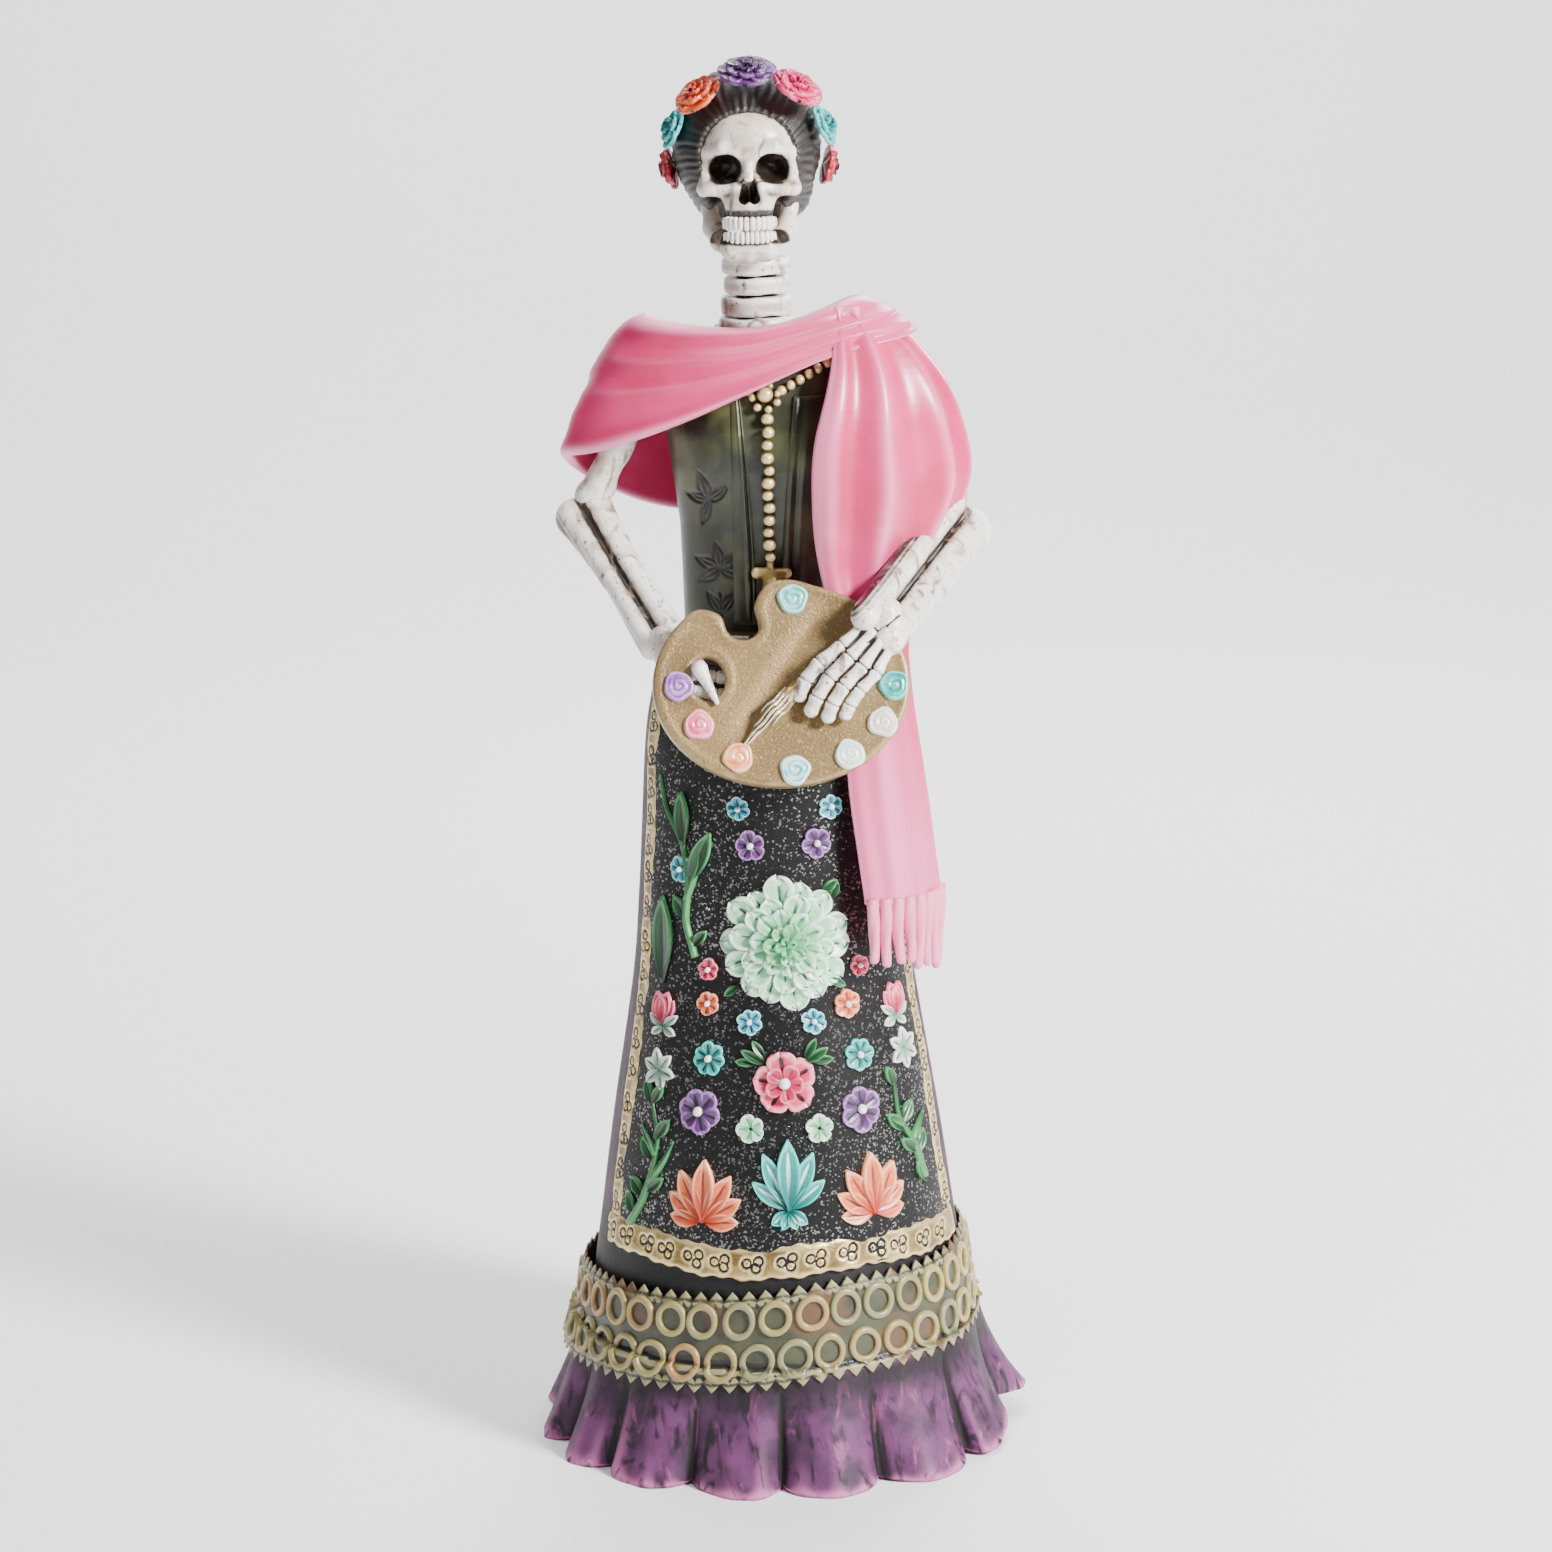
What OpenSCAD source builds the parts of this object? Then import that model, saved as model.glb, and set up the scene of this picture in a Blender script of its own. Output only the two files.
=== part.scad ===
// Papier-mache catrina: a skeleton figure of an artist in a long embroidered
// dress, built over a card skirt cone, a wooden spine and two arm wires.
// Millimetres. X is across the figure, -Y is its front, +Z is up, and the
// origin is the middle of its footprint on the table.

/* [Skirt] */
// Radius of the skirt cone at the table
hem_r = 60; // [58:0.5:61]
// Radius of the skirt at the hips
hip_r = 34.5; // [33:0.5:36]
// Thickness of the pasted paper wall
skirt_wall = 2.4; // [1.5:0.1:3]
// Furthest reach of the gathered flounce from the middle
flounce_r = 75; // [72:0.5:78]
// Number of folds round the flounce, even so that it stands centred
flounce_folds = 14; // [10:2:18]

/* [Lace] */
// Half of the height of the scalloped lace band
lace_half_h = 14; // [12:0.5:15]
// Number of zigzag teeth round the band
lace_teeth = 72; // [48:4:88]
// Number of rings in each of the two rows
rings_per_row = 34; // [20:1:34]

/* [Apron] */
// Angle that the apron wraps round the skirt, in degrees
apron_angle = 140; // [120:2:150]
// Thickness of the apron panel
apron_t = 1.2; // [0.8:0.1:1.6]
// Thickness of the pasted-on flowers
flower_t = 1.6; // [1:0.1:2.4]
// Radius of the big double dahlia
dahlia_r = 18; // [15:0.5:20]

/* [Palette] */
// Width of the palette
palette_w = 71.5; // [66:0.5:74]
// Height of the palette along its own face
palette_h = 57.5; // [54:0.5:60]
// Thickness of the palette
palette_t = 5; // [3:0.5:7]
// Lean of the palette, its foot forward
palette_lean = 22; // [15:1:28]

/* [Head] */
// Half width of the braincase
skull_rx = 15.5; // [14:0.25:16.5]
// Half depth of the braincase
skull_ry = 18; // [16:0.25:19]
// Number of teeth in each row
teeth_per_row = 12; // [8:2:14]

/* [Armature] */
// Radius of the wooden spine
spine_r = 4; // [3:0.25:5]
// Radius of the wire in each arm
wire_r = 1; // [0.6:0.1:1.4]

/* [Hidden] */
$fn = 40;
gap = 0.1;          // between pieces that are glued face to face
felt_t = 1.5;
disc_t = 5;
spine_at = [-1.5, 2];
spine_top = 372;
flounce_top = 34;
flounce_lap = 2.1;      // how far its pasted top edge stands off the skirt
flounce_depth = 0.95;   // the flounce is a little shallower than it is wide
waist_z = 238;

// Skirt radius at each height, from the table to the waist.
skirt_profile = [
    [0, hem_r], [27, 57], [51, 54], [66, 51.5], [97, 47], [128, 41.8],
    [143, 39.6], [173, 37.4], [205, 35.8], [217, hip_r], [228, 31.5], [waist_z, 26]
];

// ---- Shared helpers --------------------------------------------------------

function skirt_r(z) = lookup(z, skirt_profile);
function flip(v) = [for (i = [len(v) - 1 : -1 : 0]) v[i]];
function mix(a, b, t) = a + (b - a) * t;

// The skirt's outline from z0 to z1, moved out by off.
function skirt_line(z0, z1, off) = concat(
    [[skirt_r(z0) + off, z0]],
    [for (p = skirt_profile) if (p[0] > z0 && p[0] < z1) [p[1] + off, p[0]]],
    [[skirt_r(z1) + off, z1]]);

// A layer pasted on the skirt, from inner to outer, centred on the front.
module skirt_layer(z0, z1, inner, outer, angle) {
    rotate([0, 0, -90 - angle / 2])
        rotate_extrude(angle = angle)
            polygon(concat(skirt_line(z0, z1, inner), flip(skirt_line(z0, z1, outer))));
}

// Stands its children on the apron at x and height z: their XY is its face.
module on_apron(x, z, lift = gap) {
    r = skirt_r(z) + apron_t + 2 * gap;
    slope = atan2(skirt_r(z - 6) - skirt_r(z + 6), 12);
    rotate([0, 0, asin(x / r)])
        translate([0, -r, z])
            rotate([90 - slope, 0, 0])
                translate([0, 0, lift])
                    children();
}

// Cuts a flat outline, seen from the front, out of a layer on the apron.
module apron_relief(z0, z1, t = flower_t) {
    intersection() {
        skirt_layer(z0, z1, apron_t + 3 * gap, apron_t + 3 * gap + t, apron_angle);
        rotate([90, 0, 0])
            linear_extrude(height = 80)
                children();
    }
}

// A flat flower of round petals.
module petals(r, n, reach = 0.56) {
    for (i = [0 : n - 1])
        rotate(90 + i * 360 / n)
            translate([r * reach, 0])
                circle(r = r * (1 - reach));
    circle(r = r * reach);
}

module flower(r, n, t = flower_t) {
    linear_extrude(height = t) petals(r, n);
}

// A pointed leaf from the origin along +Y.
function leaf(l, w) = concat(
    [for (i = [0 : 8]) [w / 2 * sin(i * 22.5), l * i / 8]],
    [for (i = [7 : -1 : 1]) [-w / 2 * sin(i * 22.5), l * i / 8]]);

// A stem of width w along a list of points.
function side(path, w, s) = [for (i = [0 : len(path) - 1])
    let (a = path[max(i - 1, 0)], b = path[min(i + 1, len(path) - 1)],
         d = (b - a) / norm(b - a))
    path[i] + s * w / 2 * [-d[1], d[0]]];
module stem(path, w) {
    polygon(concat(side(path, w, 1), flip(side(path, w, -1))));
}

// A closed solid between an outer and an inner sheet of points.
module sheet_solid(outer, inner) {
    n = len(outer);
    m = len(outer[0]);
    function a(i, j) = i * m + j;
    function b(i, j) = n * m + i * m + j;
    polyhedron(
        points = concat([for (row = outer) each row], [for (row = inner) each row]),
        faces = concat(
            [for (i = [0 : n - 2], j = [0 : m - 2]) each
                [[a(i, j), a(i + 1, j), a(i + 1, j + 1)], [a(i, j), a(i + 1, j + 1), a(i, j + 1)]]],
            [for (i = [0 : n - 2], j = [0 : m - 2]) each
                [[b(i, j), b(i + 1, j + 1), b(i + 1, j)], [b(i, j), b(i, j + 1), b(i + 1, j + 1)]]],
            [for (i = [0 : n - 2]) each
                [[a(i, 0), b(i, 0), b(i + 1, 0)], [a(i, 0), b(i + 1, 0), a(i + 1, 0)]]],
            [for (i = [0 : n - 2]) each
                [[a(i, m - 1), b(i + 1, m - 1), b(i, m - 1)],
                 [a(i, m - 1), a(i + 1, m - 1), b(i + 1, m - 1)]]],
            [for (j = [0 : m - 2]) each
                [[a(0, j), b(0, j + 1), b(0, j)], [a(0, j), a(0, j + 1), b(0, j + 1)]]],
            [for (j = [0 : m - 2]) each
                [[a(n - 1, j), b(n - 1, j), b(n - 1, j + 1)],
                 [a(n - 1, j), b(n - 1, j + 1), a(n - 1, j + 1)]]]));
}

// A closed ring made by sweeping an equal number of points at each angle.
module ring_solid(rings) {
    n = len(rings);
    m = len(rings[0]);
    function a(i, j) = (i % n) * m + (j % m);
    polyhedron(
        points = [for (r = rings) each r],
        faces = [for (i = [0 : n - 1], j = [0 : m - 1]) each
            [[a(i, j), a(i + 1, j), a(i + 1, j + 1)],
             [a(i, j), a(i + 1, j + 1), a(i, j + 1)]]]);
}

module ball(p, r) {
    translate(p) sphere(r = r);
}

// A tapered round bone between two points.
module bone(p, q, rp, rq) {
    hull() {
        ball(p, rp, $fn = 18);
        ball(q, rq, $fn = 18);
    }
}

// A straight cylinder between two points.
module rod(p, q, r) {
    d = q - p;
    translate(p)
        rotate([0, acos(d[2] / norm(d)), atan2(d[1], d[0])])
            cylinder(r = r, h = norm(d));
}

// ---- Base and armature -----------------------------------------------------

module spine(r, from = felt_t + 1, to = spine_top) {
    translate([spine_at[0], spine_at[1], from]) cylinder(r = r, h = to - from);
}

module base_disc() {
    color("burlywood")
        difference() {
            translate([0, 0, felt_t]) cylinder(r = hem_r - skirt_wall - 2.5, h = disc_t);
            spine(spine_r + gap);
        }
}

module felt_pad() {
    color("darkgreen") cylinder(r = hem_r - skirt_wall - 4, h = felt_t);
}

module spine_dowel() {
    color("tan") spine(spine_r);
}

module waist_disc() {
    color("peru")
        difference() {
            translate([0, 0, waist_z - 8]) cylinder(r = 24, h = 3);
            spine(spine_r + gap, waist_z - 20, waist_z + 20);
        }
}

// Joints of the two arms: shoulder, elbow, wrist. The figure's right is -X.
right_arm = [[-31, 3, 312], [-52, 4, 271], [-30, -26, 238]];
left_arm = [[31, 3, 314], [56, -3, 269], [31, -42, 247]];

// The wire is hammered a little thicker where it bends.
bend = 1.35;
module arm_wire(arm, r) {
    rod([arm[0][0] * 0.45, arm[0][1], arm[0][2] - 4], arm[0], r);
    ball(arm[0], r * bend);
    rod(arm[0], arm[1], r);
    ball(arm[1], r * bend);
    rod(arm[1], arm[2], r);
}

module arm_wires() {
    color("dimgray") {
        arm_wire(right_arm, wire_r);
        arm_wire(left_arm, wire_r);
    }
}

// ---- Skirt, flounce and lace -----------------------------------------------

module skirt_shell() {
    color("rebeccapurple")
        rotate_extrude()
            polygon(concat(
                skirt_line(felt_t, waist_z, -skirt_wall),
                flip(skirt_line(felt_t, waist_z, 0))));
}

// Radius of the flounce at an angle, t = 0 at its top and 1 at its hem.
function fold(a) = pow(abs(sin((a + 10.5) * flounce_folds / 2)), 0.7);
function flounce_rad(a, t) =
    mix(skirt_r(flounce_top) + flounce_lap,
        mix(hem_r + 4, flounce_r, 0.25 + 0.75 * fold(a)), pow(t, 1.6));
function flounce_point(a, t, inward) =
    let (r = flounce_rad(a, t) - inward, z = flounce_top * (1 - t))
    [r * sin(a), -r * cos(a) * mix(1, flounce_depth, t), z];

module flounce() {
    steps = flounce_folds * 8;
    t_out = [0, 0.3, 0.55, 0.8, 1];
    color("mediumpurple")
        ring_solid([for (i = [0 : steps - 1])
            let (a = i * 360 / steps)
            concat(
                [for (t = t_out) flounce_point(a, t, 0)],
                [flounce_point(a, 1, 3), flounce_point(a, 0.55, 2.4), flounce_point(a, 0, 1.9)])]);
}

lace_t = 1.2;
ring_r = 5.2;
ring_w = 1.8;

// Middle height of the lace band: it was pasted on a little uneven.
function lace_z(a) = 41.5 + 4 * sin(a) + 2.5 * cos(a);
function lace_point(a, dz, off) =
    let (z = lace_z(a) + dz,
         r = max(skirt_r(z) + 1, z < flounce_top ? skirt_r(flounce_top) + flounce_lap + gap : 0) + off)
    [r * sin(a) - 1.5, -r * cos(a), z];

module lace_band() {
    steps = lace_teeth * 2;
    color("darkkhaki")
        ring_solid([for (i = [0 : steps - 1])
            let (a = i * 360 / steps, tip = i % 2 == 0 ? 0 : 2.4, h = lace_half_h - tip)
            [lace_point(a, h, lace_t), lace_point(a, 0, lace_t), lace_point(a, -h, lace_t),
             lace_point(a, -h, 0), lace_point(a, 0, 0), lace_point(a, h, 0)]]);
}

module lace_ring(a, dz) {
    p = lace_point(a, dz, lace_t + 2 * gap);
    translate(p)
        rotate([82, 0, a])
            difference() {
                cylinder(r = ring_r, h = 1.2);
                translate([0, 0, -1]) cylinder(r = ring_r - ring_w, h = 4);
            }
}

module lace_rings() {
    step = 360 / rings_per_row;
    color("olive")
        for (i = [0 : rings_per_row - 1]) {
            lace_ring(i * step, 6);
            lace_ring((i + 0.5) * step, -6);
        }
}

// ---- Apron and its trims ---------------------------------------------------

apron_low = 62.5;
apron_high = 232;

module apron_panel() {
    color("black")
        skirt_layer(apron_low, apron_high, gap, apron_t + gap, apron_angle);
}

module apron_hem_trim() {
    color("gold")
        skirt_layer(apron_low - 2, apron_low + 7.5, apron_t + 2 * gap, apron_t + 1.4, apron_angle + 8);
}

module apron_side_trims() {
    half = apron_angle / 2;
    color("gold")
        for (s = [-1, 1])
            rotate([0, 0, s * half])
                skirt_layer(apron_low + 8, apron_high, apron_t + 2 * gap, apron_t + 1.2, 8);
}

// ---- Flowers on the apron --------------------------------------------------

module dahlia() {
    color("palegreen")
        apron_relief(130, 180, 3)
            translate([3, 155]) {
                petals(dahlia_r, 10, 0.76);
            }
}

module magenta_flower() {
    color("deeppink")
        on_apron(2, 116) flower(8, 5, 2.2);
}

// Each row of flowers is [x, z, radius, petals].
purple_spots = [[-22, 107, 6.4, 6], [23.5, 106.5, 6.4, 6], [-6, 183, 4.2, 5], [12, 183, 4.2, 5]];
teal_spots = [[-19, 122, 4.6, 5], [23, 121.5, 4.6, 5]];
blue_spots = [[-9, 193, 3.4, 5], [16, 193, 3.4, 5], [-26, 175, 3.8, 5], [-7.5, 133, 3.6, 5],
    [10.5, 132.5, 3.6, 5]];
mint_spots = [[-7.5, 103, 3.9, 5], [11.5, 102.5, 3.9, 5]];
red_spots = [[-18.5, 147, 3, 5], [23.5, 147, 3, 5]];
orange_spots = [[-19, 137.5, 3.4, 5], [20, 136.5, 3.8, 5]];

module flower_rows(spots) {
    for (s = spots)
        on_apron(s[0], s[1]) flower(s[2], s[3]);
}

module purple_flowers() { color("indigo") flower_rows(purple_spots); }
module teal_flowers() { color("lightseagreen") flower_rows(teal_spots); }
module blue_flowers() { color("deepskyblue") flower_rows(blue_spots); }
module mint_flowers() { color("aquamarine") flower_rows(mint_spots); }
module red_flowers() { color("crimson") flower_rows(red_spots); }
module orange_flowers() { color("coral") flower_rows(orange_spots); }

// A white bead in the middle of each small flower.
module flower_centres() {
    color("white") {
        for (s = concat(purple_spots, teal_spots, blue_spots, red_spots, orange_spots))
            on_apron(s[0], s[1], flower_t + 2 * gap)
                cylinder(r = s[2] * 0.22, h = 0.8);
        on_apron(2, 116, 2.2 + 2 * gap) cylinder(r = 1.6, h = 0.9);
    }
}

module lotus(x, z) {
    translate([x, z])
        for (a = [-75, -40, 0, 40, 75])
            rotate(a) translate([0, -7]) polygon(leaf(16.5 - abs(a) / 18, 7));
}

module orange_lotuses() {
    color("orangered")
        apron_relief(72, 96, 2)
            for (x = [-21.5, 26.5]) lotus(x, 82.5);
}

module teal_lily() {
    color("teal")
        apron_relief(72, 100, 2.2)
            translate([2.5, 84]) {
                translate([0, -5]) polygon(leaf(19, 7.5));
                for (s = [-1, 1]) {
                    translate([s * 2, -5]) rotate(-s * 42) polygon(leaf(15, 6));
                    translate([s * 4.4, -7]) difference() {
                        circle(r = 3.6);
                        circle(r = 1.8);
                    }
                }
            }
}

module tulips() {
    color("hotpink")
        for (x = [-32, 32.5])
            on_apron(x, 134)
                linear_extrude(height = flower_t + 0.6)
                    for (a = [-22, 0, 22])
                        rotate(a) translate([0, -4.5]) polygon(leaf(10, 5));
}

module white_lilies() {
    color("honeydew")
        for (s = [-1, 1])
            on_apron(s < 0 ? -33.5 : 36, s < 0 ? 116 : 119.5)
                linear_extrude(height = flower_t)
                    for (a = [0 : 60 : 300])
                        rotate(a) polygon(leaf(5.6, 3.4));
}

vine_upper = [[-27, 150], [-23.5, 162], [-23, 172], [-26, 182], [-28, 196]];
vine_left = [[-39, 74], [-34.5, 84], [-31, 95], [-30.5, 104]];
vine_right = [[38.5, 80], [37, 88], [32, 98], [30, 107]];

module vines() {
    color("forestgreen")
        apron_relief(72, 205, 1.5) {
            stem(vine_upper, 2);
            translate([-31.5, 142]) polygon(leaf(24, 7.5));
            translate([-24, 176]) rotate(-14) polygon(leaf(17, 6));
            translate([-26.5, 178]) rotate(20) polygon(leaf(13, 3.6));
            stem(vine_left, 2.2);
            translate([-34, 85]) rotate(-50) polygon(leaf(8, 3.4));
            stem(vine_right, 2.2);
            translate([34, 94]) rotate(45) polygon(leaf(8, 3.4));
        }
}

module leaf_sprigs() {
    color("green")
        for (s = [-1, 1])
            on_apron(s * 10 + 2, 124)
                linear_extrude(height = flower_t)
                    for (a = [20, 60, 100])
                        rotate(-s * (a - 60)) polygon(leaf(6, 2.4));
}

// ---- Bodice and necklace ---------------------------------------------------

bust_z = 296;

module oval(z, rx, ry, h = 1) {
    translate([0, 1, z]) scale([rx, ry, 1]) cylinder(r = 1, h = h, $fn = 32);
}

module torso(grow) {
    hull() {
        oval(waist_z + gap, 22.5 + grow, 16 + grow);
        oval(bust_z, 27 + grow, 19.5 + grow);
        oval(312, 30 + grow, 14 + grow);
        oval(321, 17 + grow, 9 + grow);
    }
}

module bodice() {
    color("darkolivegreen")
        difference() {
            torso(0);
            spine(spine_r + gap, waist_z - 5, 340);
            arm_wire(right_arm, wire_r + gap);
            arm_wire(left_arm, wire_r + gap);
        }
}

// Two stiff fronts of the vest, a sleeve of paper round the bodice, open in the
// middle and at the back.
module vest_panels() {
    color("olivedrab")
        intersection() {
            difference() {
                torso(1.6);
                torso(gap);
            }
            union() {
                translate([-32, -30, waist_z + 3]) cube([27, 31, 62]);
                translate([5.5, -30, waist_z + 3]) cube([20, 31, 62]);
            }
        }
}

// Front of the bodice on its middle line at height z.
function front_y(z) = lookup(z, [[waist_z, -15], [bust_z, -18.5], [312, -13]]);

bead_r = 1.8;
module necklace_strand() {
    color("khaki")
        for (i = [0 : 10])
            ball([0.3, front_y(301 - i * 4.2) - bead_r - gap, 301 - i * 4.2], bead_r, $fn = 24);
}

module necklace_ornament() {
    color("gold")
        translate([0.3, front_y(305) - 1.8, 305.5]) {
            sphere(r = 2.1, $fn = 24);
            for (i = [0 : 5])
                ball([3.3 * cos(i * 60), 0, 3.3 * sin(i * 60)], 1.1, $fn = 20);
        }
}

module necklace_chain() {
    color("khaki")
        for (s = [-1, 1], i = [0 : 6])
            let (x = s * (5.2 + i * 3), z = 307 + i * 1.75)
            ball([x + 0.3, -17.6 + i * 0.9, z], 1.5, $fn = 20);
}

module pendant() {
    y = front_y(255) - 2.2;
    color("goldenrod")
        union() {
            translate([1.2, y, 254.4]) rotate([0, 90, 0]) cylinder(r = 1.7, h = 11, center = true);
            translate([1.2, y, 246]) cylinder(r1 = 3.6, r2 = 2.2, h = 8);
        }
}

// ---- Neck, skull and jaw ---------------------------------------------------

head = [-3, 1, 368];

module neck_vertebrae() {
    color("ivory")
        for (v = [[323.5, 10, 5], [329, 9.2, 5.5], [335, 8.6, 5.5], [341, 7.6, 4]])
            difference() {
                translate([spine_at[0], spine_at[1], v[0]])
                    rotate_extrude()
                        polygon([[0, 0], [v[1] - 1.2, 0], [v[1], 1.2], [v[1], v[2] - 1.4],
                                 [v[1] - 1.2, v[2] - 0.1], [0, v[2] - 0.1]]);
                spine(spine_r + gap, 300, 360);
            }
}

module ellipsoid(p, r, n = 32) {
    translate(p) scale(r) sphere(r = 1, $fn = n);
}

module skull_form(grow) {
    hull() {
        ellipsoid([0, 2, 7], [skull_rx + grow, skull_ry + grow, 17 + grow]);
        ellipsoid([0, -8, 3], [13.5 + grow, 9 + grow, 8 + grow]);
    }
}

module skull() {
    color("ivory")
        translate(head)
            difference() {
                union() {
                    skull_form(0);
                    hull() {
                        ellipsoid([0, -9, -3], [13, 8, 6], 20);
                        ellipsoid([0, -11.5, -11], [7.5, 6.5, 3.6], 20);
                    }
                }
                for (s = [-1, 1]) ball([s * 6.4, -18, 1.2], 5.2, $fn = 24);
                hull() {
                    ball([-1.6, -19, -7], 1.8, $fn = 16);
                    ball([1.6, -19, -7], 1.8, $fn = 16);
                    ball([0, -19, -3], 1, $fn = 16);
                }
                translate([-head[0] + spine_at[0], spine_at[1] - head[1], -30])
                    cylinder(r = spine_r + gap, h = spine_top - head[2] + 31);
            }
}

// The jaw's line from the chin round to the hinge: across, forward, up, radius.
jaw_line = [[0, -15.6, -21.4, 3.6], [4.4, -14.8, -21.2, 3.5], [8, -10, -19.2, 3.2],
    [10.4, -4.4, -16.2, 2.9], [11.4, -1.2, -11, 2.3], [12, 0.6, -5.4, 2.1]];

module jaw() {
    color("ivory")
        translate(head)
            for (s = [-1, 1], i = [0 : len(jaw_line) - 2])
                let (p = jaw_line[i], q = jaw_line[i + 1])
                bone([s * p[0], p[1], p[2]], [s * q[0], q[1], q[2]], p[3], q[3]);
}

// Teeth stand on an arch that is wider than deep.
module tooth_row(z, h, r) {
    for (i = [0 : teeth_per_row - 1])
        let (a = (i - (teeth_per_row - 1) / 2) * 132 / teeth_per_row)
        translate([8 * sin(a), -12.2 - 7 * cos(a), z])
            cylinder(r = r, h = h, $fn = 20);
}

module upper_teeth() {
    color("white") translate(head) tooth_row(-15, 3.4, 0.85);
}

module lower_teeth() {
    color("white") translate(head) tooth_row(-18.6, 3.4, 0.8);
}

// ---- Hair and crown --------------------------------------------------------

// The crown of hair and the roll gathered low at the nape are one moulding.
module hair() {
    color("black")
        translate(head)
            difference() {
                union() {
                    hull() {
                        ellipsoid([0, 3, 6], [21.3, 20.5, 21.5], 28);
                        ellipsoid([0, 8, -8], [17, 13, 11], 20);
                    }
                    hull() ellipsoid([0, 20, -6], [15, 9, 11], 24);
                }
                skull_form(gap);
                translate([-14.5, -40, -30]) cube([29, 34, 46.5]);
                translate([-30, -40, -30]) cube([60, 30, 34]);
                translate([-12, -9, -40]) cube([24, 26, 32]);
            }
}

// A crown flower, its back on the hair, facing away from the head's middle.
module crown_flower(x, y, z, r, n) {
    d = [x - head[0], 0.75 * (y - head[1] - 2), 1.25 * (z - head[2] - 4)];
    translate([x, y, z])
        rotate([0, acos(d[2] / norm(d)), atan2(d[1], d[0])])
            linear_extrude(height = 3) petals(r, n, 0.5);
}

module crown_flower_purple() { color("purple") crown_flower(-3, -14, 394.3, 7.6, 6); }
module crown_flower_orange() { color("orangered") crown_flower(-16, -12, 388.4, 6.8, 5); }
module crown_flower_pink() { color("deeppink") crown_flower(10.5, -12, 389.8, 7.2, 5); }
module crown_flowers_aqua() {
    color("turquoise") {
        crown_flower(-22.8, -3.5, 379, 5.6, 5);
        crown_flower(17.2, -3.5, 379, 5.6, 5);
    }
}
module crown_flowers_red() {
    color("firebrick") {
        crown_flower(-24, 7, 368, 5.6, 5);
        crown_flower(18, 7, 368, 5.6, 5);
    }
}

// ---- Arms and hands --------------------------------------------------------

module upper_arm(arm) {
    color("ivory")
        difference() {
            bone(arm[0] + (arm[1] - arm[0]) * 0.06, arm[1] + (arm[0] - arm[1]) * 0.16, 5.4, 5);
            rod(arm[0] - (arm[1] - arm[0]), arm[1] + (arm[1] - arm[0]) * 0.2, wire_r + gap);
            torso(1.8);
        }
}

// Two bones side by side; wide sets the second one lower and stouter.
module forearm_form(arm, wide, grow = 0) {
    bone(arm[1], arm[2], 6 + grow, 5 + grow);
    bone(arm[1] + [0, 0, -6 - wide / 2], arm[2] + [0, 0, -2 - wide / 2], 4.6 + grow, 4.2 + wide / 3 + grow);
}

module forearm(arm, wide) {
    color("ivory")
        difference() {
            forearm_form(arm, wide);
            arm_wire(arm, wire_r + gap);
            bone(arm[0], arm[1] + (arm[0] - arm[1]) * 0.15, 5.7, 5.4);
        }
}

module right_upper_arm() { upper_arm(right_arm); }
module left_upper_arm() { upper_arm(left_arm); }
right_wide = 0;
left_wide = 3;
module right_forearm() { forearm(right_arm, right_wide); }
module left_forearm() { forearm(left_arm, left_wide); }

// ---- Palette, paint and brush ----------------------------------------------

palette_at = [2.5, -46, 227];

// Moves its children to the palette's face: XY is the face, Z points out.
module on_palette(lift = 0) {
    translate(palette_at)
        rotate([0, 0, 5])
            rotate([90 - palette_lean, 0, 0])
                translate([0, 0, lift])
                    children();
}

// An oval with a notch in its upper edge and a round lobe beside the notch.
module palette_outline() {
    offset(r = 2.4) offset(delta = -2.4)
        difference() {
            union() {
                translate([1.3, 3.7]) resize([palette_w, palette_h]) circle(r = 30, $fn = 60);
                translate([4, 24.5]) circle(r = 8.2);
            }
            hull() {
                translate([-8.6, 21.5]) circle(r = 5, $fn = 24);
                translate([-12.5, 36]) circle(r = 8, $fn = 24);
            }
        }
}

thumb_hole = [-19, 6.2];
thumb_hole_r = 5;
module palette() {
    color("goldenrod")
        on_palette(-palette_t)
            difference() {
                linear_extrude(height = palette_t) palette_outline();
                translate([thumb_hole[0], thumb_hole[1], -1]) cylinder(r = thumb_hole_r, h = palette_t + 2);
            }
}

// Dabs of paint: place on the palette's face and radius.
dabs = [[-27.2, 4, 4.2], [-22.1, -7, 4.2], [-11.8, -16.4, 4.2], [3.7, -20.4, 4.2],
        [19, -16.6, 4.2], [28.6, -8, 4.2], [32.2, 2.2, 4], [5.4, 27.4, 4.2]];
module paint_dabs() {
    color("turquoise")
        on_palette(gap)
            for (d = dabs)
                translate([d[0], d[1], 0]) cylinder(r = d[2], h = 1.6);
}

brush_lift = 2.4;

module brush_handle() {
    color("saddlebrown")
        on_palette(brush_lift)
            rod([4.4, 1.4, 0], [20, 14.2, 0], 1.3);
}

module brush_bristles() {
    color("gold")
        on_palette(brush_lift)
            hull() {
                ball([3.2, 0.2, 0], 2, $fn = 18);
                ball([-1.6, -4.4, 0.3], 2.2, $fn = 18);
                ball([-9.6, -13, -1], 1, $fn = 18);
            }
}

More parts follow.
